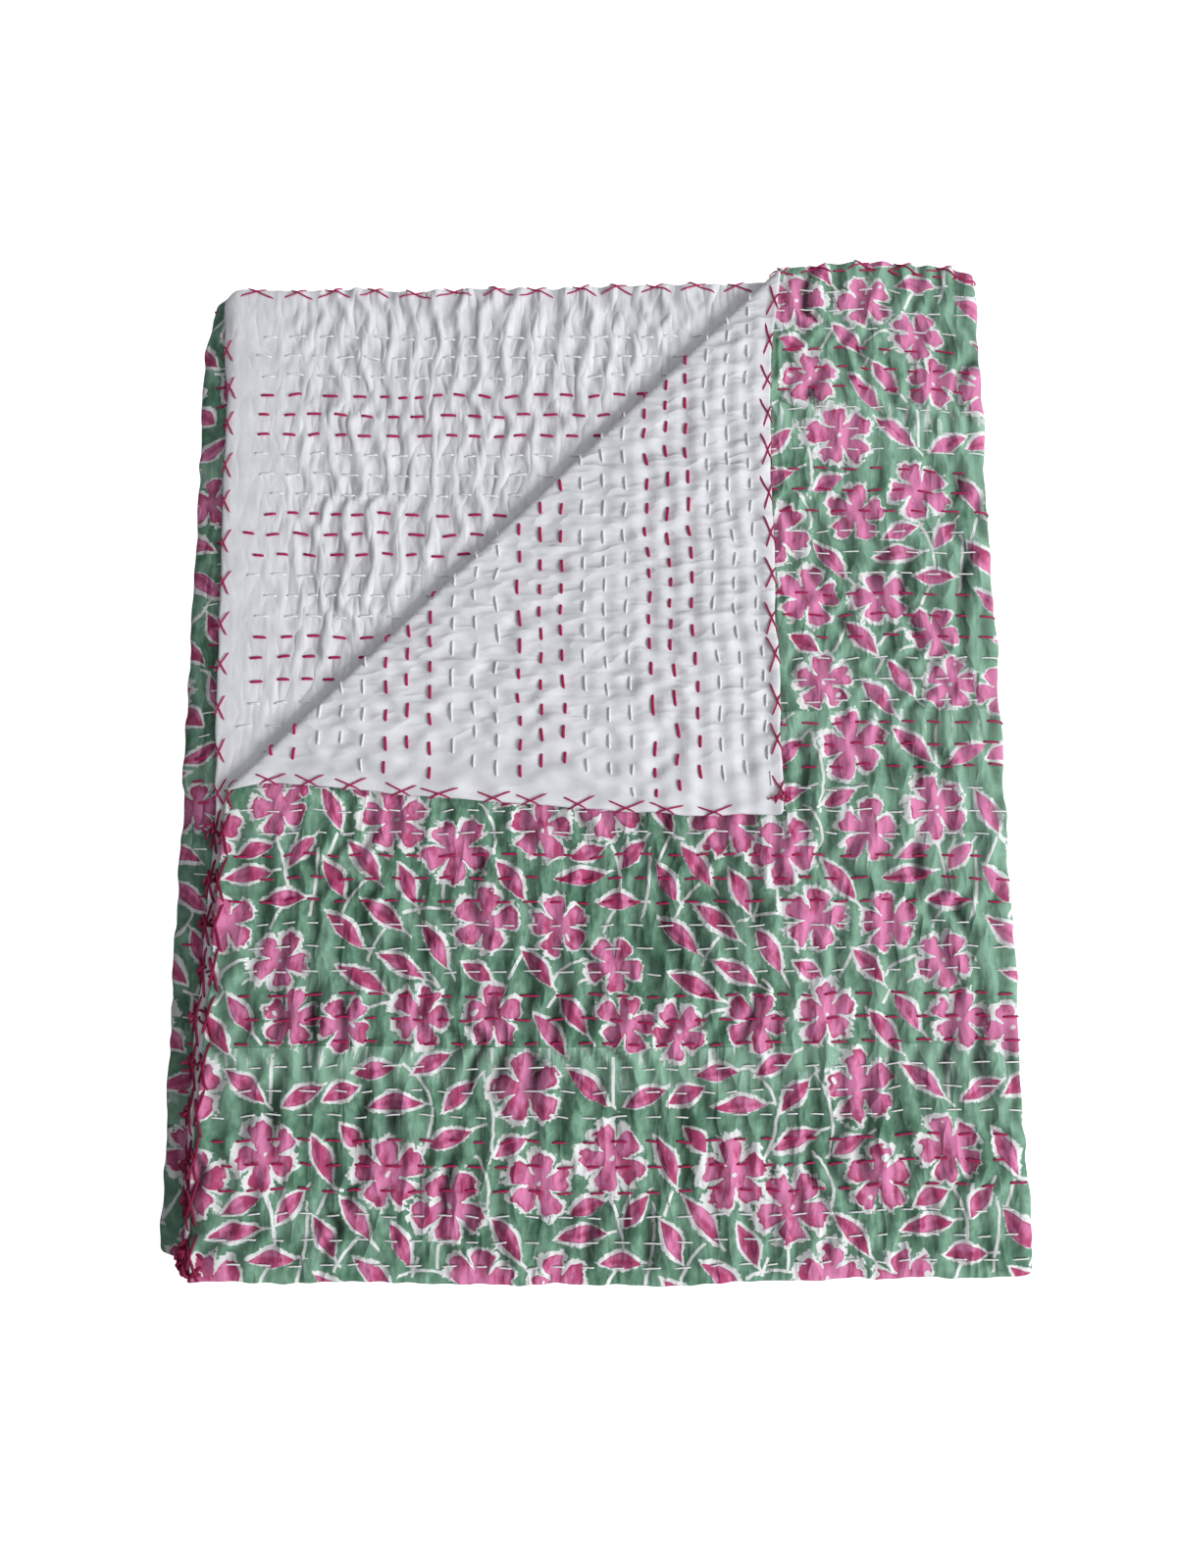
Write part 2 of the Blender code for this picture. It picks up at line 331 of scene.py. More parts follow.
def top_share(along, across, past):
    """Share on the upper half: the top panel's print and the turned-back corner."""
    north = round_near_fold(along, across)[0]
    print_up = soft_step(-past, 0.0, CREASE_EASE) * (across > -HALF_TURN)
    from_fold = soft_step(across, 0.0, NEAR_FOLD_WIDTH)
    print_up = print_up * (NEAR_FOLD_SHARE + (1 - NEAR_FOLD_SHARE) * from_fold)
    print_up = print_up * (1 - PRESSED_BY_CORNER * under_turned_corner(along, north, past))
    print_up = print_up * (1 - PRESSED_BY_TURN * soft_step(along, EAST_CENTRE, PUCKERS_END))
    from_end = soft_step(along, *CORNER_EDGE)
    corner_up = -CORNER_SHARE * soft_step(past - ROLL_END, 0.0, CREASE_EASE) * (across > HALF_TURN)
    return print_up + corner_up * (CORNER_EDGE_SHARE + (1 - CORNER_EDGE_SHARE) * from_end)


def outward_share(along, across):
    """How far puckers stand out: 1 on the print's side, -1 on the white, 0 where pressed."""
    past = past_of(along, across)
    under_corner = -soft_step(past, *UNDER_CORNER) * soft_step(along, *CALM_EDGE)
    bare_margin = -soft_step(-along, *MARGIN_SIDE) * (1.0 - soft_step(past, *MARGIN_ENDS))
    first_panel = np.where(across > -HALF_TURN, top_share(along, across, past),
                           np.minimum(under_corner, bare_margin))
    strip = STRIP_SHARE * soft_step(along, *STRIP_SIDE) * (across < 0)
    strip = strip * (1 - soft_step(along, SECOND_END, THIRD_START))
    near_bend = BEND_SHARE * (1 - soft_step(np.abs(across), 0.0, 2 * HALF_TURN))
    return np.where(along <= PUCKERS_END, first_panel, np.maximum(strip, near_bend))


print("share on the open print", outward_share(0.1, 0.1), "and on the corner", outward_share(-0.1, 0.5))

# %% [markdown]
# ## Height of the puckers
# Running stitch gathers the cloth. Under each visible stitch it dips, and between two stitches it rises, so
# that ridges run from row to row. White cloth is pinched sharply at its stitches and has fine slanting
# creases; on the turned-back corner it also swells between the rows. The dips are a value of their own,
# which the finishes use for painted shade in the dips; the same value holds painted shadow on the strip at
# the left.

# %% Puckers and dips
PUCKER_HEIGHT = 0.0038
PINCH = 1.2
SWELL_HEIGHT, SWELL_GRAIN = 0.0009, (0.050, 0.060, 17)
CRUMPLE_HEIGHT, CRUMPLE_GRAIN = 0.0005, (0.0070, 0.0085, 23)
CORNER_CREASES, LOWER_CREASES = 0.00085, 0.00050
SLANT_GRAINS = ((0.0105, 0.026, 25), (0.0105, 0.026, 27))
UNEVEN, UNEVEN_GRAIN = 0.30, (0.026, 0.018, 11)
DIP_MEAN, DIP_UNEVEN, DIP_GRAIN = 0.75, 0.5, (0.016, 0.030, 19)
ROW_PUFF, PUFFED = 0.0027, (0.46, 0.58)
STRIP_SEEN = 0.045
# Painted shadow on the strip at the left, beside the pile, lighter toward its far end.
STRIP_SHADE, SHADE_SIDE = 0.58, (SECOND_END - STRIP_SEEN, SECOND_END - 0.025)
FAR_STRIP_LIGHT, FAR_STRIP = 0.30, (0.32, 0.44)


def pucker_wave(along, across):
    """How far puckers stand out here, and the wave from 0 in a dip to 1 on a ridge."""
    share = outward_share(along, across)
    phase = stitch_phase(along, across)
    rounded = 0.5 - 0.5 * np.cos(2 * math.pi * phase)
    pinched = 1.0 - np.abs(np.sin(math.pi * phase)) ** PINCH
    return share, np.where(share < 0, pinched, rounded)


def pucker(along, across):
    """Signed lift of the puckered cloth."""
    share, wave = pucker_wave(along, across)
    uneven = 1.0 - UNEVEN + UNEVEN * waver(along, across, UNEVEN_GRAIN)
    swell = SWELL_HEIGHT * waver(along, across, SWELL_GRAIN)
    row_count = 3 * np.interp(across, TRIPLE_PLACES, TRIPLE_NUMBERS)
    between_rows = 0.5 - 0.5 * np.cos(2 * math.pi * row_count)
    on_corner = soft_step(across, *PUFFED) * (share < 0)
    swell = swell + ROW_PUFF * between_rows * on_corner
    slanting = waver(along + across, along - across, SLANT_GRAINS[0])
    slanting = slanting + waver(along - across, along + across, SLANT_GRAINS[1])
    creases = np.where(across > 0, CORNER_CREASES, LOWER_CREASES) * slanting * (share < 0)
    crumple = CRUMPLE_HEIGHT * waver(along, across, CRUMPLE_GRAIN) + creases
    free = np.minimum(1.0, 2.0 * np.abs(share))
    return share * (PUCKER_HEIGHT * uneven * wave + swell) + crumple * free


def dip(along, across):
    """Painted shade: 1 at the bottom of a dip between puckers, 0 on a ridge or flat cloth; and painted
    shadow on the strip at the left.
    """
    share, wave = pucker_wave(along, across)
    uneven = DIP_MEAN + DIP_UNEVEN * waver(along, across, DIP_GRAIN)
    # Painted shadow on the strip beside the pile, lighter at its far end.
    on_strip = soft_step(along, *SHADE_SIDE) * (across < 0)
    light_left = 1.0 - FAR_STRIP_LIGHT * soft_step(-across, *FAR_STRIP)
    return np.maximum(np.abs(share) * (1.0 - wave) * uneven, STRIP_SHADE * on_strip * light_left)


print("pucker on the open print", pucker(0.1, 0.1).round(4), "metres high")

# %% [markdown]
# ## The true edges
# The far edges and the ends aren't folded: here the two cloths are closed with crosses,
# and the edge is a little crooked. Tables hold how far each half reaches. Corners are
# rounded, and the far edge is drawn in where the cloth goes round a turn. Cutting the
# mesh at the edge would leave a ragged line, so the grid is stretched to the edge.

# %% Reach of the cloth
NORTH_UPPER = (
    (-0.245, 0.3325), (0.124, 0.3445), (0.245, 0.3480), (0.42, 0.334), (0.76, 0.326), (1.3, 0.325),
)
NORTH_LOWER = (
    (-0.245, 0.3300), (0.124, 0.3360), (0.245, 0.3380), (0.42, 0.331), (0.76, 0.3355), (1.3, 0.325),
)
WEST_UPPER = (
    (-0.287, -0.2296), (-0.215, -0.2316), (-0.150, -0.2274), (-0.066, -0.2240), (-0.006, -0.2238),
    (0.012, -0.2210), (0.030, -0.2190), (0.067, -0.2223), (0.097, -0.2256), (0.131, -0.2288),
    (0.194, -0.2332), (0.242, -0.2382), (0.274, -0.2397), (0.307, -0.2399), (0.334, -0.2406),
)
WEST_LOWER = (
    (-0.287, -0.2325), (-0.215, -0.2372), (-0.150, -0.2355), (-0.066, -0.2308), (-0.010, -0.2304),
    (0.030, -0.2324), (0.259, -0.2378), (0.330, -0.2450),
)
EDGE_EASE_END = -0.1200
UPPER_CORNER_ROUND = 0.0030
LOWER_CORNER_ROUND = 0.0125
TURN_DRAW_IN = 0.0045
TURN_DRAW_WIDTH = 0.012
EASE_LIMIT = 1.1


def reach(along, upper):
    """Length of cloth from the near fold's end to the far true edge."""
    edge = np.where(upper, table_value(along, NORTH_UPPER), table_value(along, NORTH_LOWER))
    corner_round = np.where(upper, UPPER_CORNER_ROUND, LOWER_CORNER_ROUND)
    near_end = np.maximum(FIRST_EDGE_X - along, along - THIRD_END) / corner_round
    near_end = np.clip(near_end + 1.0, 0.0, 1.0)
    rounded = corner_round * (1.0 - np.sqrt(1.0 - near_end * near_end))
    from_east_turn = np.abs(along - EAST_CENTRE - TURN_LENGTH / 2)
    from_west_turn = np.abs(along - SECOND_END - TURN_LENGTH / 2)
    from_turn = np.minimum(from_east_turn, from_west_turn)
    drawn_in = TURN_DRAW_IN * np.exp(-(from_turn / TURN_DRAW_WIDTH) ** 2)
    return edge - SOUTH_CENTRE - table_value(along, PANEL_SLIP) - rounded - drawn_in


def eased(along, across):
    """Slide points near the first panel's west edge, so that it follows the true edge."""
    north = SOUTH_CENTRE + np.abs(across) - HALF_TURN
    edge = np.where(across > 0, table_value(north, WEST_UPPER), table_value(north, WEST_LOWER))
    share = np.clip((EDGE_EASE_END - along) / (EDGE_EASE_END - FIRST_EDGE_X), 0.0, EASE_LIMIT)
    return along + (edge - FIRST_EDGE_X) * share


print("cloth reaches", reach(0.0, True).round(3), "metres past the near fold")

# %% [markdown]
# ## Patches of cloth
# A cloth is laid out in patches, each a grid with its own spacing: two or three millimetres
# where the cloth shows, and a centimetre inside the pile. One fine grid would be simpler,
# but most of its faces would never be seen. At a true edge the grid curls over to the
# other side, as a turned hem does, so the edge looks soft and whole.

# %% Grid lines
HEM_CURL = ((0.0, 0.0), (0.0004, 0.55), (0.0010, 0.85), (0.0022, 1.0))
HEM_BACK = ((0.0016, -0.95), (0.0005, -0.62))


def spaced(start, end, step):
    return np.linspace(start, end, max(2, round(abs(end - start) / step) + 1))


def hem_lines(regular, low=False, high=False):
    """Grid lines as (place, inset from the edge, share of the cloth's half thickness)."""
    lines = [(place, 0.0, 1.0) for place in regular]
    if low:
        lines = [(regular[0], d, s) for d, s in HEM_BACK + HEM_CURL] + lines[2:]
    if high:
        lines = lines[:-2] + [(regular[-1], -d, s) for d, s in (HEM_BACK + HEM_CURL)[::-1]]
    return np.array(lines)


print("a hem curls over in", len(HEM_BACK + HEM_CURL), "grid lines")

# %% Patches and meshes
HEM_WIDTH = 0.0075
HEM_RISE = 0.0003


def patch(columns, rows, side, keep=None, face=1, relief=True):
    """Points, quads and flat places. side is 1 above the near fold, -1 below, 0 on it."""
    along = (columns[:, 0] + columns[:, 1])[:, None]
    if side == 0:
        across = np.broadcast_to(rows[:, 0] * HALF_TURN, (len(columns), len(rows)))
    else:
        across = side * (HALF_TURN + reach(along, side > 0) * rows[None, :, 0] + rows[None, :, 1])
    share = np.minimum(columns[:, 2][:, None], rows[:, 2][None, :])
    along = eased(np.broadcast_to(along, across.shape), across)
    from_north = HALF_TURN + reach(along, across > 0) - np.abs(across)
    hem = 1.0 - soft_step(from_north, 0.0, HEM_WIDTH)
    lift = face * (HALF_CLOTH * share + HEM_RISE * hem * np.clip(share, 0, 1))
    if relief:
        lift = lift + pucker(along, across)
    points = fold(along, across, lift).reshape(-1, 3)
    corner = np.arange(across.size).reshape(across.shape)
    quads = np.stack((corner[:-1, :-1], corner[1:, :-1], corner[1:, 1:], corner[:-1, 1:]), axis=-1)
    quads = quads.reshape(-1, 4)
    flat = np.stack((along, across), axis=-1).reshape(-1, 2)
    if keep is not None:
        quads = quads[keep(*flat[quads].mean(axis=1).T)]
    if face < 0:
        quads = quads[:, ::-1]
    used, place = np.unique(quads, return_inverse=True)
    return points[used], place.reshape(quads.shape), flat[used]


def mesh_object(name, points, quads):
    """A smooth mesh in the scene."""
    mesh = bpy.data.meshes.new(name)
    mesh.from_pydata(points.tolist(), [], quads.tolist())
    mesh.shade_smooth()
    thing = bpy.data.objects.new(name, mesh)
    bpy.context.scene.collection.objects.link(thing)
    print(name, "has", 2 * len(quads), "triangles")
    return thing


def cloth_mesh(name, patches):
    """Join the patches in one mesh object. Also returns its quads and flat places."""
    counts = [len(points) for points, _, _ in patches]
    starts = np.cumsum([0] + counts[:-1])
    points = np.concatenate([points for points, _, _ in patches])
    quads = np.concatenate([quads + start for (_, quads, _), start in zip(patches, starts)])
    flats = np.concatenate([flat for _, _, flat in patches])
    points[:, 2] = np.maximum(points[:, 2], 0.0)
    return mesh_object(name, points, quads), quads, flats


# %% [markdown]
# ## The printed cloth
# The print shows on the top panel, round the near fold and the right turn, on the strip
# at the left and underneath. Columns run along the quilt and rows across it; a row's
# place is a share of the way to the far edge. The corner that is turned back hides its
# print, so there the grid is coarse.

# %% Printed cloth
FINE, MIDDLE, COARSE = 0.0021, 0.0045, 0.0120
FINE_ROW = 0.0028
TURN_STEP = 0.0011
WAY_ACROSS = 0.63
ROWS_ROUND_FOLD = 9
HIDDEN_EDGE = 0.998
OVERLAP = 0.004
STRIP_START = SECOND_END - STRIP_FADE

turn_rows = hem_lines(np.linspace(-1.0, 1.0, ROWS_ROUND_FOLD))
upper_fine = hem_lines(spaced(0.0, 1.0, FINE_ROW / WAY_ACROSS), high=True)
upper_coarse = hem_lines(spaced(0.0, HIDDEN_EDGE, COARSE / WAY_ACROSS))
lower_middle = hem_lines(spaced(0.0, 1.0, MIDDLE / WAY_ACROSS), high=True)
first_fine = hem_lines(spaced(FIRST_EDGE_X, EAST_CENTRE, FINE), low=True)
first_coarse = hem_lines(spaced(FIRST_EDGE_X + 0.001, EAST_CENTRE, COARSE))
east_turn = hem_lines(spaced(EAST_CENTRE, SECOND_START, TURN_STEP))
second_coarse = hem_lines(spaced(SECOND_START, STRIP_START, COARSE))
second_fine = hem_lines(spaced(STRIP_START, SECOND_END, FINE))
west_turn = hem_lines(spaced(SECOND_END, THIRD_START, TURN_STEP))
third_middle = hem_lines(spaced(THIRD_START, THIRD_END, MIDDLE), high=True)
first_and_turn = np.concatenate((first_fine, east_turn[1:]))
strip_and_turn = np.concatenate((second_fine, west_turn[1:]))
rest_of_length = np.concatenate((second_coarse, second_fine[1::4], west_turn[1::2], third_middle[1:]))


def print_shows(along, across):
    return past_of(along, across) < ROLL_END + OVERLAP


def print_is_turned(along, across):
    return past_of(along, across) > ROLL_END - OVERLAP


printed_cloth, print_quads, print_flat = cloth_mesh("printed_cloth", [
    patch(first_and_turn, upper_fine, 1, keep=print_shows),
    patch(first_coarse, upper_coarse, 1, keep=print_is_turned, relief=False),
    *(patch(columns, turn_rows, 0) for columns in (
        first_and_turn, strip_and_turn, second_coarse, third_middle)),
    patch(np.concatenate((first_coarse, east_turn[2::2])), upper_coarse, -1, relief=False),
    patch(second_coarse, upper_coarse, -1, relief=False),
    patch(strip_and_turn, upper_fine, -1),
    patch(third_middle, lower_middle, -1, relief=False),
    patch(rest_of_length, upper_coarse, 1, relief=False),
])

# %% [markdown]
# ## The white cloth
# The white side shows on the turned-back corner, on the layer under it and as a narrow
# margin at the left, where the lower half stands out past the upper one. It could share
# the printed cloth's mesh, but it is a cloth of its own, and it faces the other way.

# %% White cloth
CREASE_MARGIN = 0.016
MARGIN_END = -0.205


def corner_shows(along, across):
    return past_of(along, across) > -OVERLAP


def lower_shows(along, across):
    return (past_of(along, across) > -CREASE_MARGIN) | (along < MARGIN_END)


hidden_length = np.concatenate((east_turn[::2], rest_of_length[1:]))
white_cloth, _, white_flat = cloth_mesh("white_cloth", [
    patch(first_fine, upper_fine, 1, keep=corner_shows, face=-1),
    patch(first_coarse, upper_coarse, 1, keep=lambda u, v: ~corner_shows(u, v), face=-1, relief=False),
    patch(first_fine, upper_fine, -1, keep=lower_shows, face=-1),
    patch(first_coarse, upper_coarse, -1, keep=lambda u, v: ~lower_shows(u, v), face=-1, relief=False),
    patch(first_coarse, turn_rows, 0, face=-1, relief=False),
    patch(hidden_length, turn_rows[::2], 0, face=-1, relief=False),
    patch(hidden_length, upper_coarse, 1, face=-1, relief=False),
    patch(hidden_length, upper_coarse, -1, face=-1, relief=False),
])

# %% [markdown]
# ## The block print
# The cloth is printed by hand with wooden blocks about twenty centimetres square. An
# image could be laid on the cloth, but it would blur close up. So the block's flowers,
# leaves and stems are charted in short tables, in millimetres from the block's lower left
# corner: place, angle and size of a flower or leaf; both ends and bow of a stem. Each
# print of the block lands a little off and a little turned. On most of the half that lies
# beneath, the rows of prints are set half a block over.

# %% Chart of the block
BLOCK_WIDE, BLOCK_TALL = 200.0, 202.0
BLOCK_CORNER = (-80.0, 127.0)
FLOWERS = (
    (50, 131, 12, 17.5), (92, 146, 40, 18), (163, 136, 25, 19), (-2, 118, 52, 19.5),
    (17, 77, 8, 18.5), (62, 75, 33, 16.5), (95, 53, 60, 15.5), (24, 22, 20, 16.5),
    (103, 19, 5, 16), (134, 15, 45, 15.5), (180, 20, 70, 16.5), (42, 183, 30, 19.5),
)
LEAVES = (
    (78, 185, -40, 36), (112, 179, 25, 30), (135, 181, 24, 27), (154, 193, 4, 28), (187, 197, 30, 28),
    (167, 174, 0, 36), (2, 179, 45, 28), (199, 155, 20, 32), (33, 151, 26, 24), (124, 144, -65, 33),
    (141, 156, -50, 22), (78, 119, 20, 25), (106, 117, 50, 25), (75, 104, 8, 34), (97, 89, 0, 29),
    (32, 101, -52, 34), (127, 101, -60, 29), (145, 111, -52, 36), (171, 97, -65, 30), (157, 79, -38, 36),
    (134, 70, -42, 36), (188, 61, -62, 35), (168, 49, -28, 34), (144, 41, -28, 38), (49, 50, -50, 31),
    (72, 23, -55, 30), (58, 12, -52, 34), (13, 47, -30, 23),
)
STEMS = (
    (14, 194, 20, 142, 6), (11, 147, 20, 117, 5), (19, 143, 26, 151, 0), (93, 202, 93, 174, 0),
    (89, 129, 98, 94, 3), (128, 129, 122, 113, 0), (129, 129, 137, 127, 0), (132, 80, 147, 100, 1.5),
    (98, 88, 88, 71, -1), (99, 114, 103, 128, 0), (116, 121, 111, 77, 2.5), (170, 79, 198, 81, 3),
    (193, 98, 193, 82, 0), (148, 52, 159, 71, 1.5), (57, 42, 78, 55, 3), (72, 40, 90, 42, 3),
    (57, 27, 62, 36, 0), (149, 23, 167, 27, 2), (170, 197, 189, 172, 3), (189, 172, 180, 143, 2),
    (178, 79, 182, 91, 0), (31, 42, 40, 58, 0), (183, 45, 190, 36, 1),
)
BLOCK_SLIP = 1.2
PRINT_TURN = 1.2
PRINTS_ALONG, PRINTS_ACROSS = range(-2, 9), range(-5, 4)
FIRST_UPPER_PRINT = -1
PRINT_SEED = 29


def printed_blocks():
    """Corner and turn of every block print on the quilt."""
    slips = np.random.default_rng(PRINT_SEED)
    for i in PRINTS_ALONG:
        for j in PRINTS_ACROSS:
            slip = slips.uniform(-BLOCK_SLIP, BLOCK_SLIP, 2)
            half_step = BLOCK_WIDE / 2 if j < FIRST_UPPER_PRINT else 0.0
            corner_x = BLOCK_CORNER[0] + BLOCK_WIDE * i + half_step + slip[0]
            corner_y = BLOCK_CORNER[1] + BLOCK_TALL * j + slip[1]
            yield (corner_x, corner_y), slips.uniform(-PRINT_TURN, PRINT_TURN)


print("the block has", len(FLOWERS), "flowers,", len(LEAVES), "leaves and", len(STEMS), "stems")

# %% Motifs on the quilt
LEAF_HALF_LENGTH = 0.47
LEAF_HALF_WIDTH = 5.2
MOTIF_SEED = 31


def place_in_block(corner, turn, x, y):
    angle = math.radians(turn)
    x, y = x - BLOCK_WIDE / 2, y - BLOCK_TALL / 2
    east = corner[0] + BLOCK_WIDE / 2 + x * math.cos(angle) - y * math.sin(angle)
    return east, corner[1] + BLOCK_TALL / 2 + x * math.sin(angle) + y * math.cos(angle)


def chart_motifs():
    """Every motif as (x, y, angle, x scale, y scale, a stem's bow or a random number)."""
    flowers, leaves, stems = [], [], []
    hand = np.random.default_rng(MOTIF_SEED)
    for corner, turn in printed_blocks():
        for x, y, angle, size in FLOWERS:
            place = place_in_block(corner, turn, x, y)
            flowers.append((*place, math.radians(angle + turn), size, size, hand.uniform(0, 1)))
        for x, y, angle, length in LEAVES:
            place = place_in_block(corner, turn, x, y)
            half_length = length * LEAF_HALF_LENGTH
            spin = math.radians(angle + turn)
            leaves.append((*place, spin, half_length, LEAF_HALF_WIDTH, hand.uniform(0, 1)))
        for x0, y0, x1, y1, bow in STEMS:
            place = place_in_block(corner, turn, (x0 + x1) / 2, (y0 + y1) / 2)
            spin = math.atan2(y1 - y0, x1 - x0) + math.radians(turn)
            stems.append((*place, spin, math.hypot(x1 - x0, y1 - y0) / 2, 1.0, bow))
    return {"flower": np.array(flowers), "leaf": np.array(leaves), "stem": np.array(stems)}


charts = chart_motifs()
print("printed", len(charts["flower"]), "flowers and", len(charts["leaf"]), "leaves")

# %% [markdown]
# ## Motifs stored on the mesh
# For every face the nearest flower, leaf and stem are found, and the face's corners keep their places as
# seen from that motif. Painting vertex colours would be simpler, but then an outline could only be as sharp
# as the mesh. The finish draws the outlines from these stored places, so they stay sharp. A point also
# keeps its place on the flat quilt, for dye and weave, and how deep in a dip it lies, which sets the
# painted shade; on the strip at the left the same value holds painted shadow.

# %% Nearest motifs
SEARCH_SPAN = 45.0
FAR_AWAY = 1e9
MILLIMETRES = 1000.0
LAST = 5


def motif_places(points, motif):
    """Places seen from a motif, in its own turned and scaled axes."""
    away = points - motif[..., 0:2]
    cosine, sine = np.cos(motif[..., 2]), np.sin(motif[..., 2])
    x = (away[..., 0] * cosine + away[..., 1] * sine) / motif[..., 3]
    y = (away[..., 1] * cosine - away[..., 0] * sine) / motif[..., 4]
    return x, y


SCORES = {
    "flower": lambda x, y, _: np.hypot(x, y),
    "leaf": lambda x, y, _: np.abs(y) + 3 * np.maximum(np.abs(x) - 1, 0) - (1 - np.minimum(x * x, 1.5)),
    "stem": lambda x, y, bow: np.abs(y - bow * (1 - x * x)) + 20 * np.maximum(np.abs(x) - 1, 0),
}


def nearest_motif(centres, motifs, score):
    """Number of the motif with the lowest score at each centre."""
    best = np.full(len(centres), FAR_AWAY)
    chosen = np.zeros(len(centres), int)
    order = np.argsort(centres[:, 0])
    sorted_x = centres[order, 0]
    for number, motif in enumerate(motifs):
        start, end = np.searchsorted(sorted_x, (motif[0] - SEARCH_SPAN, motif[0] + SEARCH_SPAN))
        near = order[start:end]
        near = near[np.abs(centres[near, 1] - motif[1]) < SEARCH_SPAN]
        value = score(*motif_places(centres[near], motif), motif[LAST])
        better = value < best[near]
        best[near[better]] = value[better]
        chosen[near[better]] = number
    return chosen


def store(mesh, name, kind, domain, values):
    """Write values on the mesh as an attribute."""
    layer = mesh.attributes.new(name, kind, domain)
    field = "value" if kind == "FLOAT" else "vector"
    layer.data.foreach_set(field, values.astype(np.float32).ravel())


corners = print_flat[print_quads] * MILLIMETRES
for name, motifs in charts.items():
    motif = motifs[nearest_motif(corners.mean(axis=1), motifs, SCORES[name])][:, None, :]
    x, y = motif_places(corners, motif)
    values = np.stack((x, y, np.broadcast_to(motif[..., LAST], x.shape)), axis=-1)
    store(printed_cloth.data, name, "FLOAT_VECTOR", "CORNER", values)
for cloth, flats in ((printed_cloth, print_flat), (white_cloth, white_flat)):
    store(cloth.data, "flat", "FLOAT_VECTOR", "POINT", np.pad(flats, ((0, 0), (0, 1))))
    # Painted shade in the dips and painted shadow on the left strip, for the finishes.
    store(cloth.data, "dip", "FLOAT", "POINT", dip(*flats.T))
print("stored motifs on", len(corners), "faces")

# %% [markdown]
# ## Sums made of nodes
# A finish in Blender is a net of nodes, and most of these do plain sums. They could be
# added one by one, but then no formula can be read. So a node's output is wrapped in a
# Field here: adding or multiplying fields adds the node that does it.

# %% Fields
class Field:
    """A node's output, which can be used in sums as a number can."""

    def __init__(self, tree, socket):
        self.tree = tree
        self.socket = socket

    def __add__(self, other):
        return calc("ADD", self, other)

    def __sub__(self, other):
        return calc("SUBTRACT", self, other)

    def __rsub__(self, other):
        return calc("SUBTRACT", other, self)

    def __mul__(self, other):
        return calc("MULTIPLY", self, other)

    def __truediv__(self, other):
        return calc("DIVIDE", self, other)

    def __pow__(self, other):
        return calc("POWER", self, other)

    def __abs__(self):
        return calc("ABSOLUTE", self)


def join(tree, value, socket):
    if isinstance(value, Field):
        tree.links.new(value.socket, socket)
    else:
        socket.default_value = value


def add_node(tree, kind, values=(), output=0, **settings):
    """Add a node, join or set its inputs, and return one of its outputs."""
    node = tree.nodes.new("ShaderNode" + kind)
    for setting, value in settings.items():
        setattr(node, setting, value)
    for socket, value in dict(values).items():
        join(tree, value, node.inputs[socket])
    return Field(tree, node.outputs[output])


def calc(operation, *values, clamp=False):
    tree = next(value.tree for value in values if isinstance(value, Field))
    return add_node(tree, "Math", enumerate(values), operation=operation, use_clamp=clamp)


print("fields can be used in sums")

# %% Small node helpers
FACTOR, FIRST_COLOUR, SECOND_COLOUR, MIXED_COLOUR = 0, 6, 7, 2
BROKEN, FUZZY = (3.0, 0.6), (3.0, 0.7)


def vector_calc(operation, first, second):
    return add_node(first.tree, "VectorMath", {0: first, 1: second}, operation=operation)


def most(*values):
    """The largest of some fields."""
    largest = values[0]
    for value in values[1:]:
        largest = calc("MAXIMUM", largest, value)
    return largest


def ramp_up(value, start, end):
    """0 below start, 1 above end, soft between; start may be the larger one."""
    values = {"Value": value, "From Min": start, "From Max": end}
    return add_node(value.tree, "MapRange", values, "Result", interpolation_type="SMOOTHSTEP")


def blend(factor, first, second):
    values = {FACTOR: factor, FIRST_COLOUR: first, SECOND_COLOUR: second}
    return add_node(factor.tree, "Mix", values, MIXED_COLOUR, data_type="RGBA")


def noise(place, scale, detail=2.0, rough=0.5, output="Fac"):
    """Noise with so many spots in a metre. BROKEN and FUZZY are pairs of detail and roughness."""
    values = {"Vector": place, "Scale": scale, "Detail": detail, "Roughness": rough}
    return add_node(place.tree, "TexNoise", values, output)


def attribute(tree, name, output="Vector"):
    return add_node(tree, "Attribute", output=output, attribute_name=name)


def split(place):
    """The three coordinates of a place."""
    first = add_node(place.tree, "SeparateXYZ", {"Vector": place})
    return [Field(place.tree, socket) for socket in first.socket.node.outputs]


def long_across(place, share):
    """A place whose second coordinate counts for less, so that marks grow long across."""
    return add_node(place.tree, "Mapping", {"Vector": place, "Scale": (1.0, share, 1.0)})


def bump(height, strength, distance, **below):
    values = {"Strength": strength, "Distance": distance, "Height": height, **below}
    return add_node(height.tree, "Bump", values, "Normal")


print("node helpers are ready")

# %% [markdown]
# ## Cotton
# Cotton is matt, with a fine weave, slubs and small creases. They are far too fine to be modelled, so bump
# nodes tilt the light instead. Shade is painted into the colour of the dips, and shadow onto the strip at
# the left, by the value stored on the mesh.

# %% Cotton helpers
COTTON_ROUGH, COTTON_SHINE = 0.88, 0.25
DIP_POWER = 1.4
WRINKLE_SCALE, WRINKLE_LENGTH = 105.0, 0.34
WRINKLES_AT_END, WRINKLES_START = 0.25, (FIRST_EDGE_X + 0.010, FIRST_EDGE_X + 0.075)
CROOKED_SCALE, CROOKED = 300.0, 2.0
SLUB_SCALE = 700.0
WEAVE_WAVES, WEAVE_SHARE = 9000.0, 0.25
WEAVE_DEPTH, WEAVE_STRENGTH = 0.0004, 0.25


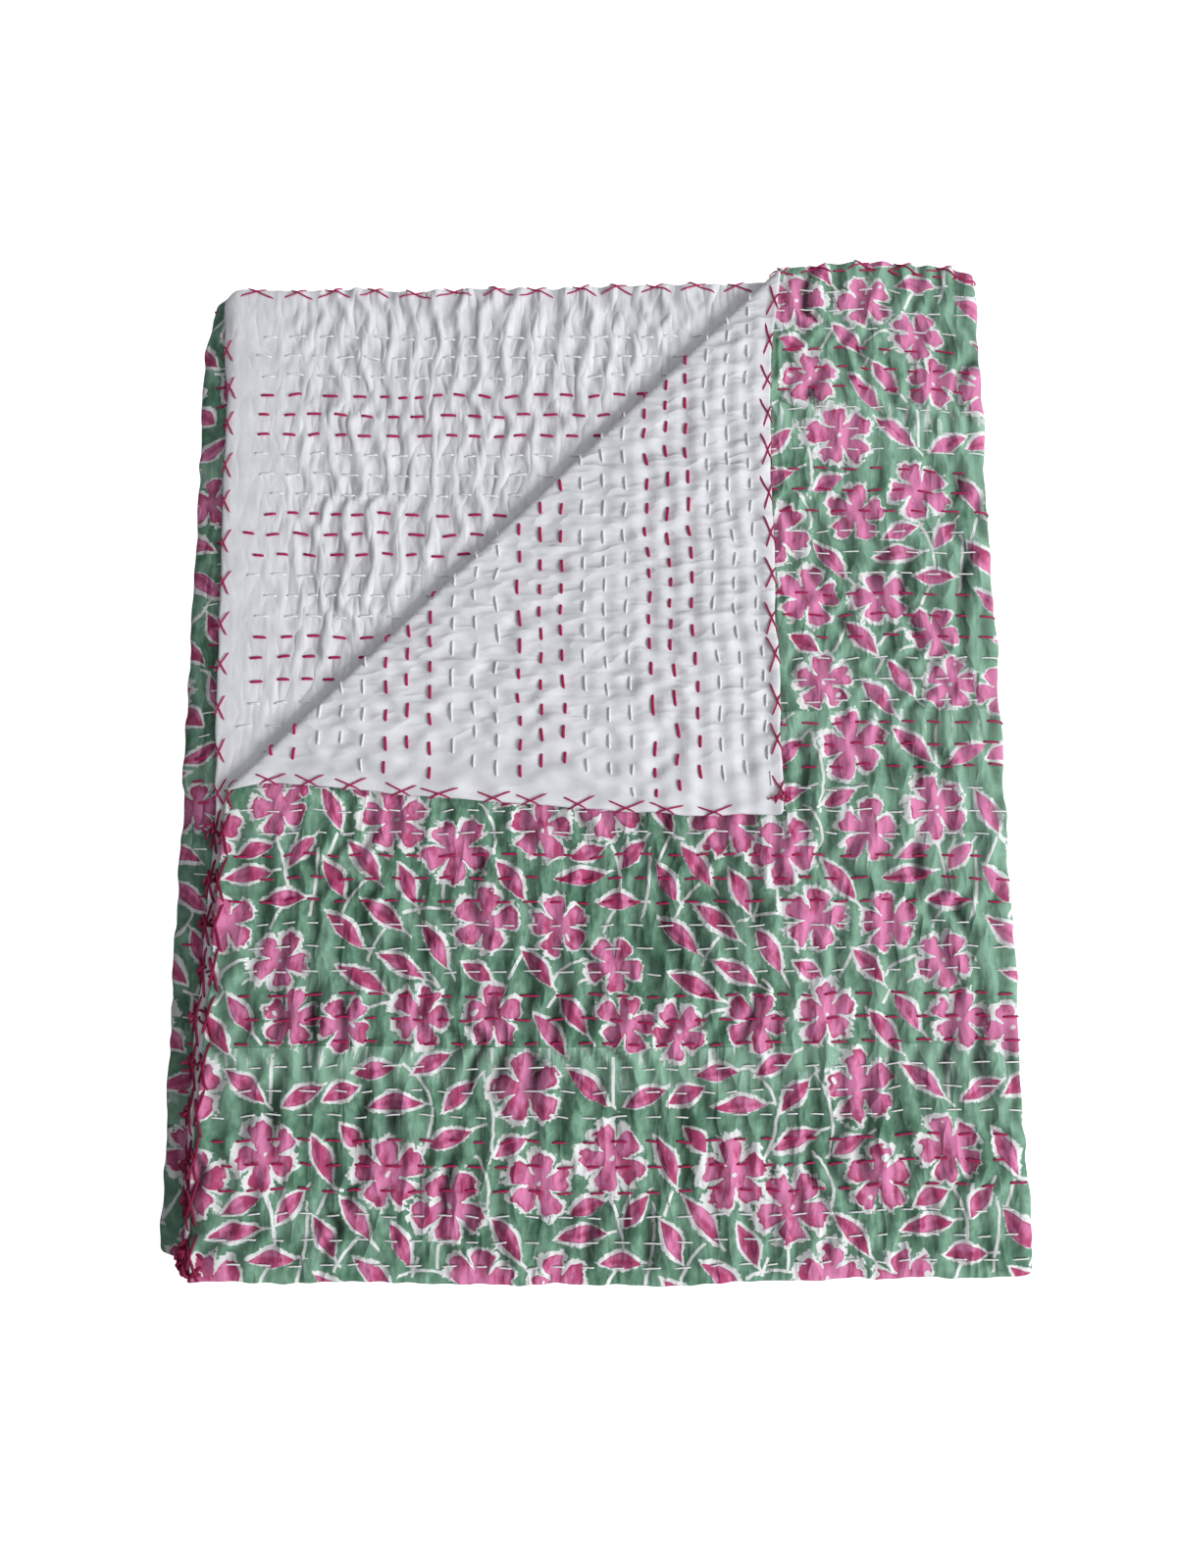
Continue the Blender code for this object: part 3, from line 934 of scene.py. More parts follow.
def matt_finish(name, rough=COTTON_ROUGH, shine=COTTON_SHINE):
    """A new material, its tree and its shader's inputs."""
    material = bpy.data.materials.new(name)
    material.use_nodes = True
    tree = material.node_tree
    inputs = tree.nodes["Principled BSDF"].inputs
    inputs["Roughness"].default_value = rough
    inputs["Specular IOR Level"].default_value = shine
    return material, tree, inputs


def with_painted_shade(colour, darkness):
    """A colour with painted shade at the bottom of a dip, and painted shadow on the strip at the left."""
    depth = attribute(colour.tree, "dip", "Fac")
    light_left = calc("MULTIPLY_ADD", depth ** DIP_POWER, -darkness, 1.0, clamp=True)
    return add_node(colour.tree, "VectorMath", {0: colour, "Scale": light_left}, operation="SCALE")


def cloth_bump(place, wrinkle_depth):
    """Creases across the rows, calm at the first end, and on them the weave with its slubs."""
    folds = noise(long_across(place, WRINKLE_LENGTH), WRINKLE_SCALE, detail=1.5, rough=0.45)
    along, across, _ = split(place)
    gathered = ramp_up(along, *WRINKLES_START)
    ridge = 1.0 - abs(folds * 2.0 - 1.0)
    ridge = ridge * (gathered * (1 - WRINKLES_AT_END) + WRINKLES_AT_END)
    wrinkled = bump(ridge, 1.0, wrinkle_depth)
    crooked = noise(place, CROOKED_SCALE) * CROOKED
    warp = calc("SINE", along * WEAVE_WAVES + crooked)
    weft = calc("SINE", across * WEAVE_WAVES + crooked)
    weave = warp * weft * WEAVE_SHARE + noise(place, SLUB_SCALE, *FUZZY)
    return bump(weave, WEAVE_STRENGTH, WEAVE_DEPTH, Normal=wrinkled)


print("cotton is", COTTON_ROUGH, "rough")

# %% [markdown]
# ## Petals and leaves
# A motif needs an edge that stays sharp, so it is a formula: a distance that is negative
# inside the shape. Petals are blunt lobes round a centre, each a little longer or shorter
# than the next. A leaf is pointed at both ends and slightly bent.

# %% Shapes of petals and leaves
PETAL_TURN = 2 * math.pi / 5
PETAL_BLUNT = 2.8
PETAL_MIDDLE, PETAL_HALF_LENGTH = 0.55, 0.45
PETAL_WIDENS, PETAL_ROOT, PETAL_LEAST = 0.38, 0.09, 0.05
PETAL_UNEVEN, PETAL_SEED, FLOWER_SEED = 0.09, 2.1, 40.0
LOBE_SCALE = 0.38
FLOWER_CENTRE = 0.36
LEAF_POINT = 1.6
LEAF_BEND = 0.22


def petal_distance(x, y, seed):
    """Distance outside a five-petalled flower of radius one, and the way from its centre."""
    angle = calc("ARCTAN2", y, x)
    petal = calc("ROUND", angle / PETAL_TURN)
    local = angle - petal * PETAL_TURN
    radius = calc("SQRT", x * x + y * y)
    uneven = calc("SINE", petal * PETAL_SEED + seed * FLOWER_SEED) * PETAL_UNEVEN + 1.0
    outward = radius * calc("COSINE", local) * uneven
    half_width = calc("MAXIMUM", outward * PETAL_WIDENS + PETAL_ROOT, PETAL_LEAST)
    over = (abs(outward - PETAL_MIDDLE) / PETAL_HALF_LENGTH) ** PETAL_BLUNT
    aside = (abs(radius * calc("SINE", local)) / half_width) ** PETAL_BLUNT
    lobe = ((over + aside) ** (1 / PETAL_BLUNT) - 1.0) * LOBE_SCALE
    return calc("MINIMUM", lobe, radius - FLOWER_CENTRE), radius


def leaf_distance(x, y, length, width):
    """Distance outside a pointed leaf, in leaf half widths."""
    room = 1.0 - abs(x / length) ** LEAF_POINT
    return abs(y - (room * LEAF_BEND - LEAF_BEND / 2)) - room * width


print("a petal takes", round(math.degrees(PETAL_TURN)), "degrees")

# %% [markdown]
# ## The print's finish
# The pink and the white come from two blocks that never meet exactly, so the white is a
# little larger and a little off to one side. Its outline is frilly, because dye creeps in
# the weave, and the pink block misses a few spots. An image would fix all this once for
# every flower; here the noises differ from one to the next. The white is joined from what
# lies round the flowers and round the leaves and from the thin stems and stalks.

# %% Motifs and outlines
EDGE_SOFT = 0.022
LEAF_SOFT = 0.08
WHITE_ASIDE = (0.032, -0.042, 0.0)
LEAF_WHITE_ASIDE = (0.02, 0.0, 0.0)
FLOWER_WOBBLE, WHITE_WOBBLE = 0.26, 0.34
LEAF_WOBBLE, LEAF_WHITE_WOBBLE = 0.30, 0.36
STEM_WOBBLE = 0.9
WOBBLE_SCALE, FRILL_SCALE, PATCH_SCALE, SPOT_SCALE = 130.0, 420.0, 60.0, 95.0
OUTLINE_PATCHY, OUTLINE_SEEDED, OUTLINE_FRILLY, LEAF_FRILLY = 0.16, 0.07, 0.22, 0.60
LEAF_SIZE, LEAF_WHITE_SIZE, LEAF_WIDER = (0.92, 0.92), (1.08, 1.20), 0.24
LEAF_SLIP, LEAF_SLIP_LEAST = 0.34, 0.24
VEIN_EDGE, SPOT_EDGE = (0.45, 0.05), (0.735, 0.715)
STALK_EDGE, STALK_TIP, STALK_ROOT = (0.20, 0.10), (1.65, 1.55), (0.85, 0.95)
STEM_EDGE, STEM_ENDS = (1.15, 0.70), (0.0, 0.1)
print_finish, tree, print_inputs = matt_finish("printed_cotton")
flat = attribute(tree, "flat")
wobble = vector_calc("SUBTRACT", noise(flat, WOBBLE_SCALE, output="Color"), (0.5, 0.5, 0.5))


def wobbled(name, amount, aside=(0.0, 0.0, 0.0)):
    """A motif's coordinates, as cut and printed by an unsteady hand."""
    shaken = vector_calc("MULTIPLY", wobble, (amount,) * 3)
    return split(vector_calc("ADD", vector_calc("ADD", attribute(tree, name), shaken), aside))


x, y, seed = wobbled("flower", FLOWER_WOBBLE)
flower, radius = petal_distance(x, y, seed)
x, y, _ = wobbled("flower", WHITE_WOBBLE, WHITE_ASIDE)
flower_white, _ = petal_distance(x, y, seed)
frill = noise(flat, FRILL_SCALE) - 0.5
outline = noise(flat, PATCH_SCALE, *BROKEN) * OUTLINE_PATCHY
outline = outline + seed * OUTLINE_SEEDED + frill * OUTLINE_FRILLY
flower_white = ramp_up(flower_white - outline, EDGE_SOFT, -EDGE_SOFT)

x, y, leaf_seed = wobbled("leaf", LEAF_WOBBLE)
leaf = leaf_distance(x, y, *LEAF_SIZE)
vein = ramp_up(abs(y), *VEIN_EDGE)
x, y, _ = wobbled("leaf", LEAF_WHITE_WOBBLE, LEAF_WHITE_ASIDE)
y = y + (leaf_seed * LEAF_SLIP - LEAF_SLIP_LEAST)
white_length, white_width = LEAF_WHITE_SIZE
leaf_white = leaf_distance(x, y, white_length, leaf_seed * LEAF_WIDER + white_width)
leaf_white = leaf_white - frill * LEAF_FRILLY
leaf_white = ramp_up(leaf_white, LEAF_SOFT, -LEAF_SOFT)
stalk = ramp_up(abs(y), *STALK_EDGE) * ramp_up(x, *STALK_TIP) * ramp_up(x, *STALK_ROOT)

x, y, bow = wobbled("stem", STEM_WOBBLE)
room = 1.0 - x * x
stem = ramp_up(abs(y - bow * room), *STEM_EDGE) * ramp_up(room, *STEM_ENDS)
white = most(flower_white, leaf_white, stem, stalk)
missed = ramp_up(noise(flat, SPOT_SCALE, detail=1.0), *SPOT_EDGE)
in_leaf = ramp_up(leaf, LEAF_SOFT, -LEAF_SOFT) * (1.0 - flower_white)
pink = most(ramp_up(flower, EDGE_SOFT, -EDGE_SOFT) * missed, in_leaf)
print("outlines use", len(tree.nodes), "nodes")

# %% [markdown]
# ## Dyes
# Dye takes unevenly: the green is streaky, and the pink pools to crimson at the rims and
# along the veins. Toward the far right the cloth has faded. Where one row of block prints
# laps over the next, scribbles of white show through. Each of these is a noise or a ramp
# that moves one colour toward another.

# %% Dyes and the finished print
GREEN_DEEP = (0.091, 0.219, 0.139, 1.0)
GREEN_PALE = (0.303, 0.530, 0.394, 1.0)
PINK_PALE = (0.845, 0.278, 0.520, 1.0)
PINK_DEEP = (0.505, 0.074, 0.192, 1.0)
RESIST_WHITE = (0.930, 0.945, 0.950, 1.0)
SEAM_SHIFT, SEAM_EDGE, SEAM_HAZE = 0.004, (0.030, 0.006), 0.70
FADE_ALONG, FADE_ACROSS = (0.02, 0.25), (-0.04, 0.28)
PETAL_RIM, LEAF_RIM = (0.10, 0.0), (0.22, 0.0)
PINK_MIX, GREEN_MIX = (0.46, 0.74), (0.34, 0.70)
DOT_EDGE, DOT_CHOICE = (0.09, 0.05), (0.35, 0.40)
SCRIBBLE_EDGE, FRILL_GAPS = (0.56, 0.66), (-0.26, -0.12)
STREAK_LENGTH, STREAK_SCALE, FINE_STREAK_SCALE = 0.45, 150.0, 330.0
BRUSH_SCALE, BRUSH_GRAIN, BRUSH_SHARE = 40.0, (4.0, 0.65), 0.7
SCRIBBLE_LENGTH, SCRIBBLE_SCALE = 0.22, 230.0
POOLING, FADING, HAZE_PALENESS = 0.10, 0.12, 0.30
PRINT_DIP_SHADE, PRINT_WRINKLES = 0.74, 0.0030

along, across, _ = split(flat)
faded = ramp_up(along, *FADE_ALONG) * ramp_up(across, *FADE_ACROSS)
below_seam = BLOCK_CORNER[1] / MILLIMETRES + SEAM_SHIFT - across
below_seam = calc("FLOORED_MODULO", below_seam, BLOCK_TALL / MILLIMETRES)
seam_haze = ramp_up(below_seam, *SEAM_EDGE) * SEAM_HAZE
streaks = long_across(flat, STREAK_LENGTH)
rims = most(ramp_up(abs(flower), *PETAL_RIM), ramp_up(abs(leaf), *LEAF_RIM))
outer = calc("MINIMUM", radius, 1.0)
pooled = noise(streaks, STREAK_SCALE, *BROKEN) + (outer + in_leaf * vein + rims) * POOLING
pooled = pooled - faded * FADING
pink_dye = blend(ramp_up(pooled, *PINK_MIX), PINK_PALE, PINK_DEEP)
brushed = noise(flat, BRUSH_SCALE, *BRUSH_GRAIN) * BRUSH_SHARE
brushed = brushed + noise(streaks, FINE_STREAK_SCALE) * (1 - BRUSH_SHARE)
brushed = brushed + faded * FADING + seam_haze * HAZE_PALENESS
green_dye = blend(ramp_up(brushed, *GREEN_MIX), GREEN_DEEP, GREEN_PALE)
flower_dot = ramp_up(radius, *DOT_EDGE) * ramp_up(seed, *DOT_CHOICE)
scribble = noise(long_across(flat, SCRIBBLE_LENGTH), SCRIBBLE_SCALE, *BROKEN)
scribble = ramp_up(scribble, *SCRIBBLE_EDGE)
white = most(white * ramp_up(frill, *FRILL_GAPS), seam_haze * scribble)
colour = blend(pink, blend(white, green_dye, RESIST_WHITE), pink_dye)
colour = blend(flower_dot, colour, RESIST_WHITE)
# Base colour with painted shade in the dips and painted shadow on the left strip.
join(tree, with_painted_shade(colour, PRINT_DIP_SHADE), print_inputs["Base Color"])
join(tree, cloth_bump(flat, PRINT_WRINKLES), print_inputs["Normal"])
printed_cloth.data.materials.append(print_finish)
print("print finish uses", len(tree.nodes), "nodes")

# %% [markdown]
# ## The white cotton's finish
# Plain undyed cotton is a cool white. One flat colour would look like paper, so a soft
# noise makes it cloudy, and the same creases and slubs as on the print catch the light.

# %% White finish
WHITE_DARK = (0.800, 0.810, 0.850, 1.0)
WHITE_LIGHT = (0.905, 0.915, 0.955, 1.0)
CLOUD_SCALE, CLOUD_EDGE = 45.0, (0.3, 0.7)
WHITE_DIP_SHADE, WHITE_WRINKLES = 0.22, 0.0028
white_finish, tree, white_inputs = matt_finish("white_cotton")
flat = attribute(tree, "flat")
clouds = ramp_up(noise(flat, CLOUD_SCALE, *BROKEN), *CLOUD_EDGE)
colour = blend(clouds, WHITE_DARK, WHITE_LIGHT)
# Base colour with painted shade in the dips.
join(tree, with_painted_shade(colour, WHITE_DIP_SHADE), white_inputs["Base Color"])
join(tree, cloth_bump(flat, WHITE_WRINKLES), white_inputs["Normal"])
white_cloth.data.materials.append(white_finish)
print("white finish uses", len(tree.nodes), "nodes")

# %% [markdown]
# ## Thread
# Each visible stitch is a short tube. Curves with a bevel could make tubes too, but
# thousands of them are slow. So all stitches of one colour are one mesh, built in one go
# from arrays: many paths, each with the same number of points, and a ring round each
# point.

# %% Tubes from many paths
RING_FLATNESS = 0.85
END_TAPER = 0.55
NORMAL_STEP = 0.0002
TINY = 1e-12


def unit(vectors):
    return vectors / (np.linalg.norm(vectors, axis=-1, keepdims=True) + TINY)


def surface_path(along, across, side, lift):
    """Folded path on one side of the quilt, and the directions that point out of the cloth."""
    side = np.asarray(side)
    level = side * HALF_CLOTH + lift
    path = fold(along, across, level)
    return path, unit(side[..., None] * (fold(along, across, level + NORMAL_STEP) - path))


def thread_mesh(name, groups, finish, sides=6):
    """One mesh of tubes. Each group is (paths, outward directions, radius)."""
    angles = np.arange(sides)[:, None] * 2 * math.pi / sides
    all_points, all_quads, start = [], [], 0
    for paths, outward, radius in groups:
        heading = unit(np.gradient(paths, axis=1))
        aside = unit(np.cross(heading, outward))
        upward = np.cross(aside, heading)
        count, steps = paths.shape[:2]
        girth = np.full((steps, 1, 1), radius)
        girth[[0, -1]] *= END_TAPER
        ring = np.cos(angles) * aside[:, :, None] + RING_FLATNESS * np.sin(angles) * upward[:, :, None]
        points = paths[:, :, None] + girth * ring
        points[..., 2] = np.maximum(points[..., 2], 0.0)
        corner = np.arange(count * steps * sides).reshape(count, steps, sides) + start
        after = np.roll(corner, -1, axis=2)
        quads = np.stack((corner[:, :-1], after[:, :-1], after[:, 1:], corner[:, 1:]), axis=-1)
        all_points.append(points.reshape(-1, 3))
        all_quads.append(quads.reshape(-1, 4))
        start += points.size // 3
    thread = mesh_object(name, np.concatenate(all_points), np.concatenate(all_quads))
    thread.data.materials.append(finish)
    return thread


print("a thread is a tube that narrows to", END_TAPER, "at its ends")

# %% [markdown]
# ## Thread finishes
# Cotton thread is smoother than the cloth and a little fuzzy. Single fibres are too fine
# to be modelled, so a small noise breaks up its colour and its bump.

# %% Thread finishes
# The darker second pink is the pink thread with painted shade, for the rail and the bundle in the shade at
# the pile's left edge.
THREAD_COLOURS = {
    "pink": (0.500, 0.020, 0.118), "shaded_pink": (0.270, 0.012, 0.062), "white": (0.970, 0.970, 0.985),
}
THREAD_ROUGH = 0.62
THREAD_SHADE = 0.85
FUZZ_SCALE, FUZZ_EDGE, FUZZ_STRENGTH, FUZZ_DEPTH = 900.0, (0.3, 0.7), 0.5, 0.0003
thread_finish = {}
for name, colour in THREAD_COLOURS.items():
    material, tree, inputs = matt_finish(name + "_thread", rough=THREAD_ROUGH)
    fuzz = noise(add_node(tree, "TexCoord", output="Object"), FUZZ_SCALE, *FUZZY)
    shaded = (*(THREAD_SHADE * part for part in colour), 1.0)
    join(tree, blend(ramp_up(fuzz, *FUZZ_EDGE), shaded, (*colour, 1.0)), inputs["Base Color"])
    join(tree, bump(fuzz, FUZZ_STRENGTH, FUZZ_DEPTH), inputs["Normal"])
    thread_finish[name] = material
print("threads come in", ", ".join(thread_finish))

# %% [markdown]
# ## Running stitches
# Rows lie in threes, by turns pink and white. A stitch is found where the phase field
# counts a whole number on the print side, and a half on the white side. Its ends go down
# into the cloth, and its middle spans the dip between two ridges. Only stitches that can
# be seen are made; the others would only cost triangles.

# %% Running stitches
THREAD_RADIUS = {
    ("pink", 1): 0.00064, ("white", 1): 0.00048, ("pink", -1): 0.00088, ("white", -1): 0.00070,
}
STITCH_SHARE = {("pink", 1): 0.29, ("white", 1): 0.29, ("pink", -1): 0.28, ("white", -1): 0.31}
STITCH_STEPS = 7
STITCH_SLIP = 0.06
STITCH_UNEVEN = (0.85, 1.12)
STITCH_SLANT = 0.0004
STITCH_RISE, STITCH_DIVE = 0.9, 2.6
TAUTNESS = 0.55
EDGE_CLEAR, WHITE_EDGE_CLEAR, STRIP_CLEAR = 0.006, 0.015, 0.003
MARGIN_SEEN = -0.212
NEAR_CREASE, UNDER_CREASE = 0.004, 0.010
SLACK = 0.002
SAMPLE_STEP, SAMPLE_MARGIN = 0.001, 0.01
STITCH_SEED = 41
DIVE_POWER = 6


def stitch_shows(along, across, side):
    """Whether a stitch at this place on one side of the quilt can be seen."""
    past = past_of(along, across)
    inside = np.abs(across) < HALF_TURN + reach(along, across > 0) - EDGE_CLEAR
    first = along < EAST_CENTRE + SLACK
    top_print = first & (across > -HALF_TURN) & ((past < NEAR_CREASE) | (across < HALF_TURN))
    strip = (along > SECOND_END - STRIP_SEEN) & (along < SECOND_END - STRIP_CLEAR) & (across < 0)
    turned = first & (across > HALF_TURN) & (past > SLACK)
    open_lower = (past > -UNDER_CREASE) | (along < MARGIN_SEEN)
    lower = (along < EAST_CENTRE) & (across < -HALF_TURN) & open_lower
    shows = (top_print | strip) if side > 0 else (turned | lower)
    return shows & inside & (along < THIRD_END - EDGE_CLEAR)


def stitch_ends(side):
    """Both ends of every visible stitch on one side, for each colour."""
    sample = np.arange(FIRST_EDGE_X - SAMPLE_MARGIN, THIRD_END + SAMPLE_MARGIN, SAMPLE_STEP)
    hand = np.random.default_rng(STITCH_SEED + side)
    found = {"pink": [], "white": []}
    for across, colour in rows:
        phase = stitch_phase(sample, across)
        whole = np.arange(math.ceil(phase[0]) + 1, math.floor(phase[-1])) + (0.0 if side > 0 else 0.5)
        whole = whole + hand.uniform(-STITCH_SLIP, STITCH_SLIP, len(whole))
        half = STITCH_SHARE[colour, side] * hand.uniform(*STITCH_UNEVEN, len(whole))
        start, end = np.interp(whole - half, phase, sample), np.interp(whole + half, phase, sample)
        slant = hand.normal(0.0, STITCH_SLANT, (2, len(whole)))
        edge = eased(np.full(len(whole), FIRST_EDGE_X), np.full(len(whole), across))
        margin = EDGE_CLEAR if side > 0 else hand.uniform(EDGE_CLEAR, WHITE_EDGE_CLEAR)
        shows = stitch_shows((start + end) / 2, across, side) & (start > edge + margin)
        ends = np.column_stack((start, end, across + slant[0], across + slant[1]))
        found[colour].append(ends[shows])
    return {colour: np.concatenate(ends) for colour, ends in found.items()}


def running_stitches(side):
    """Paths of every visible stitch on one side, grouped by colour."""
    step = np.linspace(0.0, 1.0, STITCH_STEPS)
    groups = {}
    for colour, ends in stitch_ends(side).items():
        along = ends[:, 0:1] * (1 - step) + ends[:, 1:2] * step
        across = ends[:, 2:3] * (1 - step) + ends[:, 3:4] * step
        cloth = pucker(along, across)
        taut = cloth[:, :1] * (1 - step) + cloth[:, -1:] * step
        radius = THREAD_RADIUS[colour, side]
        rise = radius * (STITCH_RISE - STITCH_DIVE * np.abs(2 * step - 1) ** DIVE_POWER)
        lift = (1 - TAUTNESS) * cloth + TAUTNESS * taut + side * rise
        groups[colour] = (*surface_path(along, across, side, lift), radius)
        print(len(ends), colour, "stitches on side", side)
    return groups


stitch_groups = [running_stitches(1), running_stitches(-1)]
running = {}
for name in ("pink", "white"):
    groups = [group[name] for group in stitch_groups]
    running[name] = thread_mesh(name + "_running_stitches", groups, thread_finish[name])

# %% [markdown]
# ## Crossed edge stitches
# The true edges are closed with crosses of sixteen to thirty millimetres. Each cross is two slanting
# threads that pass over the edge and meet again on the other side. At the left, where two layers of the
# first end lie side by side, the crosses are longer and darker, with a small knot wherever those of the two
# layers meet; their thread is the pink with painted shade, since that edge lies in shade. The crosses are
# drawn on the flat quilt as well, and the fold takes them round the edge.

# %% Places of the crosses
CROSS_PITCH = 0.0268
CROSS_START = 0.014
CROSS_SLIP = 0.0025
CROSS_HALF = 0.0080
FAR_CROSS_HALF = 0.0105
RAIL_CROSS_HALF = 0.0145
CROSS_DEPTH = 0.0062
UPPER_RAIL_DEPTH, LOWER_RAIL_DEPTH = 0.0050, 0.0034
ENDS_END, RAIL_END = 0.60, 0.27
FAR_START, FAR_END = FIRST_EDGE_X + 0.016, THIRD_END - 0.010
FAR_SEED, END_SEED, RAIL_SEED = 53, 57, 63


def far_edge_points():
    """Crosses on the far edges: place, step along the edge, step inward, half length, depth."""
    hand = np.random.default_rng(FAR_SEED)
    for side in (1, -1):
        for along in np.arange(FAR_START, FAR_END, CROSS_PITCH):
            along = along + hand.uniform(-CROSS_SLIP, CROSS_SLIP)
            across = side * (HALF_TURN + float(reach(along, side > 0)))
            yield along, across, (1.0, 0.0), (0.0, -side), FAR_CROSS_HALF, CROSS_DEPTH


def end_edge_points():
    """Crosses on the two ends of the quilt, past the rail."""
    hand = np.random.default_rng(END_SEED)
    for distance in np.arange(CROSS_START, ENDS_END, CROSS_PITCH):
        for side in (1, -1):
            across = side * (distance + hand.uniform(-CROSS_SLIP, CROSS_SLIP))
            yield THIRD_END, across, (0.0, 1.0), (-1.0, 0.0), CROSS_HALF, CROSS_DEPTH
            if distance > RAIL_END:
                half = FAR_CROSS_HALF if side > 0 else CROSS_HALF
                yield float(eased(FIRST_EDGE_X, across)), across, (0.0, 1.0), (1.0, 0.0), half, CROSS_DEPTH


regular = np.arange(CROSS_START, RAIL_END, CROSS_PITCH)
hand = np.random.default_rng(RAIL_SEED)
rail_distances = regular + hand.uniform(-CROSS_SLIP, CROSS_SLIP, len(regular))


def rail_points():
    """Crosses on the two layers of the first end, where they lie side by side at the left."""
    for distance in rail_distances:
        for side, depth in ((1, UPPER_RAIL_DEPTH), (-1, LOWER_RAIL_DEPTH)):
            across = side * distance
            yield float(eased(FIRST_EDGE_X, across)), across, (0.0, 1.0), (1.0, 0.0), RAIL_CROSS_HALF, depth


print(len(rail_distances), "crosses on each layer of the rail")

# %% Threads of the crosses
EDGE_THREAD_RADIUS, EDGE_OVERHANG = 0.00052, 0.0006
RAIL_THREAD_RADIUS, RAIL_OVERHANG = 0.00080, 0.0014
CROSS_STEPS, CROSS_SEED = 9, 59
CROSS_DROP = 0.0004
CROSS_UNEVEN = (0.85, 1.15)
CROSS_BOW, CROSS_TRAVEL = 0.9, 1.55
CROSS_RISE, CROSS_DIVE = 1.0, 2.2
DIVE_END, EDGE_SHARE = 0.14, 0.75


def edge_crosses(places, radius, overhang):
    """Paths of the crosses: two leaning threads on each side of the cloth."""
    hand = np.random.default_rng(CROSS_SEED)
    step = np.linspace(0.0, 1.0, CROSS_STEPS)
    along, across, sides = [], [], []
    for start_along, start_across, run, inward, half_length, depth in places:
        for side in (1, -1):
            for lean in (1, -1):
                half = half_length * hand.uniform(*CROSS_UNEVEN)
                inset = depth * hand.uniform(*CROSS_UNEVEN) + overhang
                inset = inset * (1 - step) ** CROSS_BOW - overhang
                travel = lean * half * (CROSS_TRAVEL * step - 1.0)
                along.append(start_along + run[0] * travel + inward[0] * inset)
                across.append(start_across + run[1] * travel + inward[1] * inset)
                sides.append([side])
    along, across, side = np.array(along), np.array(across), np.array(sides)
    over_edge = soft_step(step, EDGE_SHARE, 1.0)
    rise = radius * (CROSS_DIVE * soft_step(step, 0.0, DIVE_END) + CROSS_RISE - CROSS_DIVE)
    lift = pucker(along, across) + side * (rise + HEM_RISE - over_edge * (HALF_CLOTH + CROSS_DROP))
    return (*surface_path(along, across, side, lift), radius)


edge_groups = [edge_crosses(points, EDGE_THREAD_RADIUS, EDGE_OVERHANG)
               for points in (far_edge_points(), end_edge_points())]
rail_group = edge_crosses(rail_points(), RAIL_THREAD_RADIUS, RAIL_OVERHANG)
print(sum(len(group[0]) for group in (*edge_groups, rail_group)), "threads in the crosses")

# %% [markdown]
# ## Knots and thread ends
# Thread ends are knotted in a bundle at the near left corner, and a small one sits on the
# turned-back corner. A real knot is hard to follow, and at this size nobody can. So each
# is a tangle of small flattened rings with a seeded random turn.

# %% Knots
RING_STEPS = 17
RING_STRAY = 1.6
RING_TURN, RING_SIZE = (0.7, 1.1), (2.0, 3.6)
RING_STRETCH = 1.3
BUNDLE_FACING = (0.31, 0.17, 0.94)
KNOT_SPREAD = np.array((0.0006, 0.0022, 0.0005))
KNOT_LOOPS, KNOT_RADIUS = 7, 0.0007
BUNDLE_CENTRE = np.array((-0.2288, -0.2778, 0.0180)) - ORIGIN
BUNDLE_SPREAD = np.array((0.0036, 0.0048, 0.0024))
BUNDLE_LOOPS, BUNDLE_RADIUS = 84, 0.0011
TIP_SPREAD = np.array((0.0035, 0.0010, 0.0006))
TIP_LOOPS, TIP_RADIUS = 12, 0.0005
TIP_INSET = np.array((0.008, 0.002, 0.0030))
BUNDLE_SEED, TIP_SEED, KNOT_SEED = 61, 67, 70


def thread_bundle(centre, spread, loops, radius, seed):
    """A tangle of thread loops, each a flattened ring."""
    hand = np.random.default_rng(seed)
    steps = np.linspace(0.0, 1.0, RING_STEPS)
    paths = []
    for _ in range(loops):
        middle = centre + spread * np.clip(hand.normal(0.0, 1.0, 3), -RING_STRAY, RING_STRAY)
        turn = 2 * math.pi * steps * hand.uniform(*RING_TURN) + hand.uniform(0, 2 * math.pi)
        turn = turn[:, None]
        size = hand.uniform(*RING_SIZE) * radius
        first, second = np.linalg.qr(hand.normal(0.0, 1.0, (3, 2)))[0].T
        paths.append(middle + size * (np.cos(turn) * first + RING_STRETCH * np.sin(turn) * second))
    paths = np.array(paths)
    return paths, np.broadcast_to(BUNDLE_FACING, paths.shape), radius


def rail_knots():
    """A small knot wherever the crosses of the two layers meet."""
    for number, distance in enumerate(rail_distances):
        upper = fold(eased(FIRST_EDGE_X, distance), distance, -HALF_CLOTH)
        lower = fold(eased(FIRST_EDGE_X, -distance), -distance, -HALF_CLOTH)
        spread = KNOT_SPREAD + ((upper[0] - lower[0]) / 2, 0.0, 0.0)
        yield thread_bundle((upper + lower) / 2, spread, KNOT_LOOPS, KNOT_RADIUS, KNOT_SEED + number)


tip_along = FIRST_EDGE_X + TIP_INSET[0]
tip_across = HALF_TURN + float(reach(tip_along, True)) - TIP_INSET[1]
tip = fold(tip_along, tip_across, -TIP_INSET[2])
tip_bundle = thread_bundle(tip, TIP_SPREAD, TIP_LOOPS, TIP_RADIUS, TIP_SEED)
near_bundle = thread_bundle(BUNDLE_CENTRE, BUNDLE_SPREAD, BUNDLE_LOOPS, BUNDLE_RADIUS, BUNDLE_SEED)
edge_thread = thread_mesh("pink_edge_stitches", [*edge_groups, tip_bundle], thread_finish["pink"])
